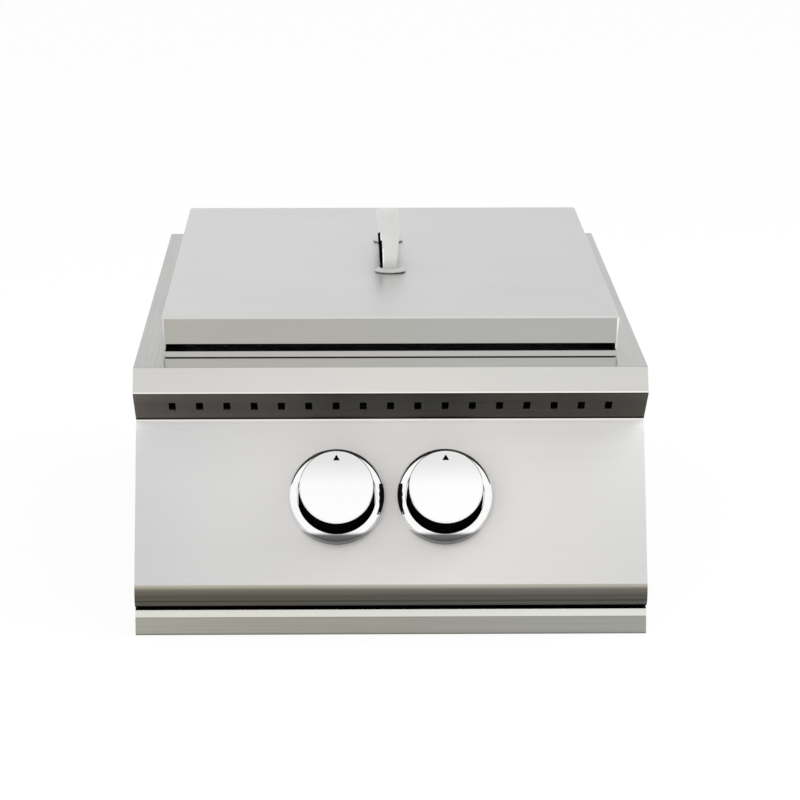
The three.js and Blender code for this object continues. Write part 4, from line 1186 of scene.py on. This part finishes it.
@dataclass
class Control(SubAssembly):
    """Bezel, knob, stem and washer of one side."""

    side: Side
    place: Matrix
    lift: float = 0.3
    bezel_radius: float = 31.7
    bezel_mouth: float = 26.1
    bezel_crest: float = 0.8
    bezel_height: float = 12.5
    bezel_round: float = 3.4
    bezel_hole: float = 12
    bezel_floor: float = 1.8
    # Points of the mouth's tight rounding, from the mouth's radius and the bezel's top.
    mouth_edge: tuple[Point2, ...] = ((0.15, -0.03), (0, -0.25))
    knob_base: float = 25.5
    knob_face: float = 24.6
    knob_low: float = 6
    knob_high: float = 35
    knob_wall: float = 2.2
    knob_edge: float = 1.5
    rim_height: float = 1.3
    hub: float = 8
    hub_top: float = 28
    bore: float = 4.3
    bore_end: float = 26.3
    crown: float = 0.5
    # Where the lip shows a painted reflection of the other knob's dark wall: its least reach sideways, and
    # its span of angles.
    shade_inset: float = 28.3
    shade_span: Point2 = (-25, 13)
    pointer_outline: tuple[Point2, ...] = ((-2.25, 17.7), (2.25, 17.7), (0, 21.6))
    pointer_top: float = 0.32
    pointer_depth: float = 0.6
    pointer_corner_share: float = 0.07

    def build(self) -> None:
        """Builds the bezel and the knob and dresses the pieces behind them."""
        finishes = self.finishes
        label = self.side.label
        bezel = lathe(f"{label}_bezel_skin", self.bezel_profile(), self.place, 128)
        turned = self.place.inverted()
        low, high = self.shade_span
        for face in bezel.data.polygons:
            spot = turned @ (face.center / MM)
            inward = -spot.x * self.side.value
            facing = low < degrees(atan2(spot.y, inward)) < high
            on_lip = spot.z > self.lift + self.bezel_height - self.bezel_round
            face.material_index = int(facing and on_lip and inward > self.shade_inset)
        dress(bezel, "root", [finishes.bezel, finishes.shade], [f"{label}_bezel"])
        body = f"{label}_control"
        knob = lathe(f"{label}_knob_skin", self.knob_profile(), self.place, 128)
        axis = self.place.to_3x3() @ Vector((0, 0, 1))
        for face in knob.data.polygons:
            on_wall = (turned @ (face.center / MM)).z < self.knob_high - self.rim_height
            face.material_index = 2 if on_wall else 0 if face.normal.dot(axis) > 0.98 else 1
        slots = [finishes.knob_face, finishes.chrome, finishes.black]
        dress(knob, body, slots, [f"{label}_knob"])
        self.pointer(body)
        dress_nodes(finishes.zinc, f"{label}_stem", f"{label}_thrust_washer")

    def bezel_profile(self) -> list[Point2]:
        """Gives the bezel's section: an upright wall, a broad round lip, a tight mouth and a sunk floor.

        Returns:
            Points of radius and height.
        """
        low, top = self.lift, self.lift + self.bezel_height
        crest = self.bezel_mouth + self.bezel_crest
        wide, tall = self.bezel_radius - crest, self.bezel_round
        angles = [radians(5 * i) for i in range(19)]
        lip = [(crest + wide * cos(a), top - tall + tall * sin(a)) for a in angles]
        edge = [(self.bezel_mouth + reach, top + z) for reach, z in self.mouth_edge]
        foot = [(self.bezel_mouth, self.bezel_floor), (self.bezel_hole, self.bezel_floor)]
        return [(self.bezel_hole, low), (self.bezel_radius, low), *lip, *edge, *foot]

    def knob_profile(self) -> list[Point2]:
        """Gives the knob's section: a crowned face, a soft edge, a tapering wall and a hollow back.

        Returns:
            Points of radius and height.
        """
        low, top, hub = self.knob_low, self.knob_high, self.hub
        corner = [(self.knob_base, low), (self.knob_face, top), (hub, top + self.crown * 0.9)]
        edge = filleted(corner, self.knob_edge, 6)
        return [
            (self.bore, low), (hub, low), (hub, self.hub_top),
            (self.knob_face - self.knob_wall, self.hub_top), (self.knob_base - self.knob_wall, low),
            *edge, (0, top + self.crown), (0, self.bore_end), (self.bore, self.bore_end),
        ]

    def pointer(self, body: str) -> None:
        """Sets the triangular pointer into the knob's face.

        Args:
            body: The CAD body that it turns with.
        """
        top = self.knob_high + self.pointer_top
        outline = self.pointer_outline
        rounded = []
        for i, corner in enumerate(outline):
            for other in (outline[i - 1], outline[(i + 1) % len(outline)]):
                rounded.append(tuple(Vector(corner).lerp(Vector(other), self.pointer_corner_share)))
        rings = [[tuple(self.place @ Vector((x, y, z))) for x, y in rounded]
                 for z in (top - self.pointer_depth, top)]
        mark = loft(f"{self.side.label}_pointer", rings, looped=False)
        dress(mark, body, [self.finishes.black])


# The well and its burners

@dataclass
class BurnerWell(SubAssembly):
    """Ledge and pressed pan, with two bar grates on them."""

    edge: float = 0.3
    # The ledge's points lie this far over the deck, give or take the zone, and move up by the seam.
    ledge_rise: float = 0.8
    ledge_zone: float = 0.55
    seam: float = 0.6
    corner: float = 14
    rod: float = 3.5
    rod_edge: float = 0.8
    bars: int = 7
    bar_end: float = 13
    drop: float = 5.2
    play: float = 0.3

    def build(self) -> None:
        """Builds the pan, whose ledge stands a dark seam over the deck's rim, and both grates."""
        pan = refined("burner_pan", self.edge)
        foot = box_of("deck_frame")[1].z + self.ledge_rise
        for point in pan.data.vertices:
            if abs(point.co.z / MM - foot) < self.ledge_zone:
                point.co.z += self.seam * MM
        dress(pan, "root", [self.finishes.well], ["burner_pan"])
        for place in Place:
            self.grate(place)

    def grate(self, place: Place) -> None:
        """Builds one grate: a bent frame, and crossbars set in a row by the tree.

        Args:
            place: Which grate.
        """
        node = f"{place.label}_grate"
        low, high = box_of(node)
        rod, end = self.rod, self.rod_edge
        bar_z = box_of("burner_pan")[1].z + self.play + rod
        middle = (low.y + high.y) / 2
        half_x, half_y = high.x - self.bar_end - rod, (high.y - low.y) / 2 - rod
        sides = 20
        rings = []
        for angle in around(sides):
            inset, z = rod * cos(angle), bar_z - self.drop + rod * sin(angle)
            loop = rounded_loop(half_x - inset, half_y - inset, self.corner - inset, middle, 8)
            rings.append([(x, y, z) for x, y in loop])
        grate = loft(f"{node}_skin", rings, looped=True)
        half_bar = [(rod, high.x - end), (rod - end, high.x), (0, high.x)]
        profile = [(radius, -x) for radius, x in reversed(half_bar)] + half_bar
        bar = lathe("bar", profile, Matrix.Rotation(pi / 2, 4, "Y"), sides)
        pitch = 2 * (half_y + rod - self.corner) / (self.bars - 1)
        start = (0, middle - pitch * (self.bars - 1) / 2, bar_z)
        finish = self.finishes.rod
        self.shop.add.apply(grate, bar, finish, self.bars, start, (0, pitch, 0))
        dress(grate, "root", [finish], [node])


@dataclass
class Burner(SubAssembly):
    """One burner: cast base, brass head with its ports, enamelled cap and electrode."""

    place: Place
    neck: float = 20
    neck_length: float = 7
    bore: float = 16
    radius: float = 36
    wall: float = 4
    floor: float = 4.5
    edge: float = 0.8
    ports: int = 18
    port_width: float = 1.8
    port_depth: float = 10
    port_corner: float = 0.2
    cutter_reach: float = 3
    cap_lap: float = 1.5
    cap_edge: float = 0.9
    cap_rim: float = 2.6
    cap_ring: float = 3

    def build(self) -> None:
        """Builds the burner's pieces."""
        finishes = self.finishes
        label = self.place.label
        low, high = box_of(f"{label}_burner_head")
        middle = (low.y + high.y) / 2
        axis = Matrix.Translation((0, middle, 0))
        head = lathe(f"{label}_burner_head_skin", self.head_profile(low.z, high.z), axis, 96)
        slit = rounded_loop(self.radius + self.cutter_reach, self.port_width / 2, self.port_corner, 0, 2)
        turn = 180 / self.ports
        self.shop.cut.apply(
            head, prism("cutter", slit, -self.port_depth, self.cutter_reach), finishes.brass, self.ports // 2,
            (0, middle, high.z), turn=(0, 0, turn), turn_step=(0, 0, 2 * turn),
        )
        dress(head, "root", [finishes.brass], [f"{label}_burner_head"])
        low, high = box_of(f"{label}_burner_cap")
        cap = lathe(f"{label}_burner_cap_skin", self.cap_profile(low.z, high.z), axis, 96)
        dress(cap, "root", [finishes.enamel], [f"{label}_burner_cap"])
        dress_nodes(finishes.cast, f"{label}_burner_base", f"{label}_venturi")
        dress_nodes(finishes.ceramic, f"{label}_igniter")
        dress_nodes(finishes.silicone, f"{label}_igniter_lead")
        dress_nodes(finishes.zinc, f"{label}_air_shutter")

    def head_profile(self, low: float, high: float) -> list[Point2]:
        """Gives the head's section between two heights.

        Args:
            low: Height of its foot.
            high: Height of its top.

        Returns:
            Points of radius and height.
        """
        foot, inner = low + self.neck_length, self.radius - self.wall
        outside = filleted([
            (self.neck, low), (self.neck, foot), (self.radius, foot), (self.radius, high), (inner, high),
            (inner, foot + self.floor),
        ], self.edge, 4)
        return [(self.bore, low), *outside, (self.bore, foot + self.floor)]

    def cap_profile(self, low: float, high: float) -> list[Point2]:
        """Gives the cap's section: a locating ring under a soft dome.

        Args:
            low: Height of the ring's foot.
            high: Height of the dome.

        Returns:
            Points of radius and height.
        """
        seat = low + self.cap_ring
        spring = seat + self.cap_ring
        spigot = self.radius - self.wall - self.edge
        inside = spigot - self.cap_ring
        edge = self.radius + self.cap_lap
        dome = [(edge * cos(a), spring + (high - spring) * sin(a))
                for a in (radians(i * 7.5) for i in range(3, 12))]
        corners = [(spigot, seat), (edge, seat), (edge, seat + self.cap_rim), dome[0]]
        rim = filleted(corners, self.cap_edge, 4)
        return [(0, seat), (inside, seat), (inside, low), (spigot, low), *rim, *dome[1:], (0, high)]


@dataclass
class GasTrain(SubAssembly):
    """Valves, spark barrels, jets, rail, elbow, pipe and inlet."""

    edge: float = 0.5

    def build(self) -> None:
        """Dresses the gas parts, which keep their CAD shapes."""
        finishes = self.finishes
        for side in Side:
            dress_nodes(finishes.brass, f"{side.label}_valve", f"{side.label}_orifice")
            dress_nodes(finishes.enamel, f"{side.label}_piezo")
        dress_nodes(finishes.brass, "manifold_plug", "gas_elbow")
        dress_nodes(finishes.zinc, "manifold_pipe", "feed_pipe")
        dress(refined("gas_inlet", self.edge), "root", [finishes.brass], ["gas_inlet"])


# The cover and the drip tray

@dataclass
class Cover(SubAssembly):
    """Folded sheet cover with its bow handle."""

    sheet: float = 1
    skirt: float = 18.2
    draft: float = 0.0934
    corner: float = 2.2
    bend: float = 1.8
    foot_radius: float = 11
    foot_height: float = 3
    foot_edge: float = 0.45
    foot_wall: float = 1.1
    sag: float = 2.9
    grip_end: float = 12.5
    grip_middle: float = 16.5
    grip_shift: float = -1
    grip_thick: float = 5
    # Upward parts of the normals of a bend's faces, and sideways parts of those of a corner, whose faces get
    # painted highlight lines.
    bend_tilt: Point2 = (0.35, 0.93)
    corner_turn: Point2 = (0.12, 0.9)
    # Powers that flatten the bow's arc and the grip's section.
    bow_power: float = 0.62
    section_power: float = 0.7
    # Where the foot's rim turns to painted shadow on the right, and how far back the painted shade on the
    # grip's flank runs.
    rim_shade: float = 2.5
    flank_length: float = 29

    def build(self) -> None:
        """Builds the cover and its handle and gives their faces their finishes."""
        finishes = self.finishes
        cover = self.shell()
        low, high = box_of("lid")
        # A point under the cover, which its inner faces look at.
        under = Vector((0, (low.y + high.y) / 2, low.z - 20)) * MM
        upright, flat = self.bend_tilt
        least, most = self.corner_turn
        # Painted light and shade: the skirts and back bend take painted shade, inner faces near-black painted
        # shade, and the front bend and corners painted highlight lines.
        for face in cover.data.polygons:
            x, y, z = face.normal
            bent = upright <= z <= flat
            inner = z < -0.3 or face.normal.dot(face.center - under) < 0
            corner = z < upright and least < -y and least < abs(x) < most
            front = bent and y < -0.2
            side = z < upright or bent and y > 0.3
            outer = 4 if corner and x > 0 else 2 if corner or front else int(side)
            face.material_index = 3 if inner else outer
        dress(cover, "cover", [
            finishes.cover_top, finishes.cover_skirt, finishes.cover_bend, finishes.inside, finishes.bend,
        ], ["lid"])
        handle = self.handle()
        foot, ends = box_of("lid_handle")
        middle_x, plate_top = (foot.x + ends.x) / 2, foot.z + self.foot_height
        # Painted shadow on the right of the feet's low rim and under the grip, painted shade on the rest of
        # that rim and on the grip's left flank, and a painted highlight line of chrome beside the flank.
        for face in handle.data.polygons:
            place, (x, y, z) = face.center / MM, face.normal
            painted_shadow_rim = place.z < foot.z + self.foot_edge
            above = plate_top < place.z
            washer = painted_shadow_rim and place.x > middle_x + self.rim_shade or not painted_shadow_rim and z < -0.3
            painted_shade_flank = place.y < foot.y + self.flank_length and above and x < -0.26
            line = -0.26 <= x < -0.16 and abs(z) < 0.9 and above
            plate = place.z < plate_top + 0.1
            shown = (washer, painted_shadow_rim, painted_shade_flank, line, plate)
            face.material_index = shown.index(True) + 1 if True in shown else 0
        dress(handle, "cover", [
            finishes.grip, finishes.washer, finishes.cover_skirt, finishes.black, finishes.chrome,
            finishes.cover_top,
        ], ["lid_handle"])

    def shell(self) -> Piece:
        """Builds the folded sheet, whose front and back skirts stop short of its sides.

        Returns:
            The cover.
        """
        low, high = box_of("lid")
        half_x, half_y = high.x, (high.y - low.y) / 2
        middle = (low.y + high.y) / 2
        steps = 10

        def ring(inset: float, z: float, end_z: float) -> list[Point3]:
            """Gives one loop, with its own height along front and back.

            Args:
                inset: How far it lies inside the cover's outline.
                z: Its height.
                end_z: Its height along front and back.

            Returns:
                The loop's points.
            """
            loop = rounded_loop(half_x - inset, half_y - inset, max(self.corner - inset, 0.5), middle, steps)
            points = []
            for number, (x, y) in enumerate(loop):
                corner, i = divmod(number, steps + 1)
                on_side = (i < steps / 2) == (corner % 2 == 0)
                points.append((x, y, z if on_side else end_z))
            return points

        end = high.z - self.skirt
        # How far the skirt has drawn in at the front's lower edge, and its places half-way down.
        lean, half_way = self.skirt * self.draft, (high.z + end) / 2
        under_z, under_bend = high.z - self.sheet, high.z - self.sheet - 1
        profile = [(self.bend * (1 - sin(a)), high.z - self.bend * (1 - cos(a)))
                   for a in (radians(i * 15) for i in range(7))]
        rings = [ring(inset, z, z) for inset, z in profile]
        rings += [
            ring(lean * 0.5, half_way, half_way),
            ring(lean, low.z, end),
            ring(lean + self.sheet, low.z, end),
            ring(self.sheet + self.bend * 0.4, under_bend, under_bend),
            ring(self.sheet + self.bend, under_z, under_z),
        ]
        return loft("lid_skin", rings, looped=False, sharp=40)

    def handle(self) -> Piece:
        """Builds the bow: a flat grip that swells towards its middle, on two round feet.

        Returns:
            The handle.
        """
        low, high = box_of("lid_handle")
        middle, across = (low.y + high.y) / 2, (low.x + high.x) / 2
        span = (high.y - low.y) / 2 - self.foot_radius
        base = self.foot_height / 2
        rise = high.z - low.z - self.grip_thick / 2 - self.sag
        sections, sides = 64, 32
        line = []
        for i in range(sections + 1):
            angle = pi * i / sections
            lift = sin(angle) ** self.bow_power
            y = -cos(angle) * span + middle
            line.append((y, low.z + base + lift * (rise - base), sin(angle)))
        rings = []
        for i, (y, z, swell) in enumerate(line):
            ahead, behind = line[min(i + 1, sections)], line[max(i - 1, 0)]
            along = Vector((ahead[0] - behind[0], ahead[1] - behind[1])).normalized()
            if i in (0, sections):
                along = Vector((0, 1 if i == 0 else -1))
            width = self.grip_end + (self.grip_middle - self.grip_end) * swell
            ring = []
            for angle in around(sides):
                wide, deep = (
                    size / 2 * copysign(abs(share) ** self.section_power, share)
                    for size, share in ((width, cos(angle)), (self.grip_thick, sin(angle)))
                )
                ring.append((across + self.grip_shift + wide, y - along.y * deep, z + along.x * deep))
            rings.append(ring)
        bow = loft("lid_handle_skin", rings, looped=False, sharp=50)
        radius, height = self.foot_radius, self.foot_height
        profile = filleted([
            (0, 0), (radius - 0.3, 0), (radius, self.foot_edge), (radius, self.foot_wall),
            (radius * 0.7, height), (0, height),
        ], 0.1, 4)
        foot = lathe("foot", profile, Matrix.Identity(4), 48)
        start = (across, middle - span, low.z)
        self.shop.add.apply(bow, foot, self.finishes.grip, 2, start, (0, 2 * span, 0))
        return bow


@dataclass
class DripTray(SubAssembly):
    """Folded tray front and the open pan behind it."""

    sheet: float = 1
    ledge: float = 15
    slope_run: float = 1.8
    slope_rise: float = 5.05
    lift: float = 1.15
    settle: float = 0.25
    toe: float = 12
    bend: float = 0.8
    pan_edge: float = 0.3

    def build(self) -> None:
        """Builds the front and dresses the pan."""
        finishes = self.finishes
        low, high = box_of("drip_tray_front")
        top, foot = high.z + self.lift, low.z - self.settle
        path = [
            (low.y + self.ledge, top), (low.y + self.slope_run, top), (low.y, top - self.slope_rise),
            (low.y, foot), (low.y + self.toe, foot),
        ]
        front = FoldedSheet(path, self.sheet, self.bend).build("drip_tray_front_skin", high.x)
        # The slope takes the tray edge's painted sheen, and the flat ledge behind it a painted shadow.
        for face in front.data.polygons:
            face.material_index = 2 if face.normal.z > 0.85 else int(face.normal.z > 0.25)
        slots = [finishes.tray, finishes.tray_edge, finishes.ledge]
        dress(front, "tray", slots, ["drip_tray_front"])
        pan = refined("drip_tray_pan", self.pan_edge)
        dress(pan, "tray", [finishes.zinc], ["drip_tray_pan"])


# The studio

@dataclass
class Studio:
    """Camera, light and floor."""

    camera_place: Point3 = (-31.3, -2793.2, 647.9)
    lens: float = 173.77
    yaw: float = 0.856
    pitch: float = 11.084
    # Name, place and side in metres, and power in watts of each lamp, and the height that they look at.
    lamps: tuple[tuple[str, Point3, float, float], ...] = (
        ("key", (-0.7, -2.4, 1.15), 1.6, 36), ("fill", (1.7, -0.6, 1.9), 1.8, 26),
    )
    aim: float = 0.1
    ambient: float = 0.8
    floor_half: float = 6
    floor_glow: float = 0.9

    def build(self) -> None:
        """Sets up the view, the camera, the lamps, the world and the floor."""
        bpy.context.scene.view_settings.view_transform = "Standard"
        self.camera()
        for lamp in self.lamps:
            self.lamp(*lamp)
        self.world()
        self.floor()

    def camera(self) -> None:
        """Sets the camera at the photograph's angle."""
        data = bpy.data.cameras.new("camera")
        data.lens = self.lens
        data.sensor_width = 36
        data.clip_end = 30
        eye = bpy.data.objects.new("camera", data)
        eye.location = Vector(self.camera_place) * MM
        eye.rotation_euler = (radians(90 - self.pitch), 0, radians(-self.yaw))
        bpy.context.scene.collection.objects.link(eye)
        bpy.context.scene.camera = eye

    def lamp(self, name: str, place: Point3, size: float, power: float) -> None:
        """Adds a soft square lamp that looks at the object.

        Args:
            name: The lamp's name.
            place: Where it hangs, in metres.
            size: Its side, in metres.
            power: Its power in watts.
        """
        data = bpy.data.lights.new(name, "AREA")
        data.size = size
        data.energy = power
        lamp = bpy.data.objects.new(name, data)
        lamp.location = place
        lamp.visible_glossy = False
        lamp.rotation_euler = (Vector(place) - Vector((0, 0, self.aim))).to_track_quat("Z", "Y").to_euler()
        bpy.context.scene.collection.objects.link(lamp)

    def seen_ray(self, tree: Nodes) -> Socket:
        """Gives 1 for rays that show the background: straight, mirrored or through glass.

        Args:
            tree: The tree of the world or the floor's material.

        Returns:
            The socket.
        """
        rays = add_node(tree, "ShaderNodeLightPath").outputs
        seen = rays["Is Camera Ray"]
        for kind in ("Is Glossy Ray", "Is Transmission Ray"):
            seen = add_node(tree, "ShaderNodeMath", {0: seen, 1: rays[kind]}, operation="MAXIMUM").outputs[0]
        return seen

    def world(self) -> None:
        """Lights the room evenly and shows it white."""
        world = bpy.data.worlds.new("studio")
        bpy.context.scene.world = world
        world.use_nodes = True
        tree = world.node_tree
        tree.nodes.clear()
        light, shown = (
            add_node(tree, "ShaderNodeBackground", {"Color": WHITE, "Strength": strength}).outputs[0]
            for strength in (self.ambient, 1)
        )
        mixed = add_node(tree, "ShaderNodeMixShader", {0: self.seen_ray(tree), 1: light, 2: shown})
        add_node(tree, "ShaderNodeOutputWorld", {0: mixed.outputs[0]})

    def floor(self) -> None:
        """Lays a pale floor that keeps a light shadow of the object."""
        half = self.floor_half
        mesh = bpy.data.meshes.new("floor")
        corners = [(-half, -half, 0), (half, -half, 0), (half, half, 0), (-half, half, 0)]
        mesh.from_pydata(corners, [], [(0, 1, 2, 3)])
        floor = bpy.data.objects.new("floor", mesh)
        bpy.context.scene.collection.objects.link(floor)
        material, tree, shader = blank_material("pale_floor")
        feed(tree, shader, {"Base Color": WHITE, "Roughness": 0.9})
        glow = add_node(tree, "ShaderNodeEmission", {"Color": WHITE, "Strength": 1})
        share = add_node(tree, "ShaderNodeMath", {
            0: self.seen_ray(tree), 1: self.floor_glow,
        }, operation="MULTIPLY").outputs[0]
        mixed = add_node(tree, "ShaderNodeMixShader", {0: share, 1: shader.outputs[0], 2: glow.outputs[0]})
        tree.links.new(mixed.outputs[0], tree.nodes["Material Output"].inputs[0])
        mesh.materials.append(material)


def main() -> None:
    """Builds the burner piece by piece, then the studio."""
    logging.basicConfig(level=logging.INFO, format="%(name)s: %(message)s")
    shop = Workshop(Finishes(), RepeatTree(Repeat.CUT), RepeatTree(Repeat.ADD))
    Deck(shop).build()
    FrontHood(shop).build()
    panel = ControlPanel(shop)
    panel.build()
    for side in Side:
        Control(shop, side, panel.face().place(side.value * panel.spacing / 2, panel.down)).build()
    BurnerWell(shop).build()
    for place in Place:
        Burner(shop, place).build()
    for kind in (GasTrain, Cover, DripTray):
        kind(shop).build()
    Studio().build()


if __name__ == "__main__":
    main()
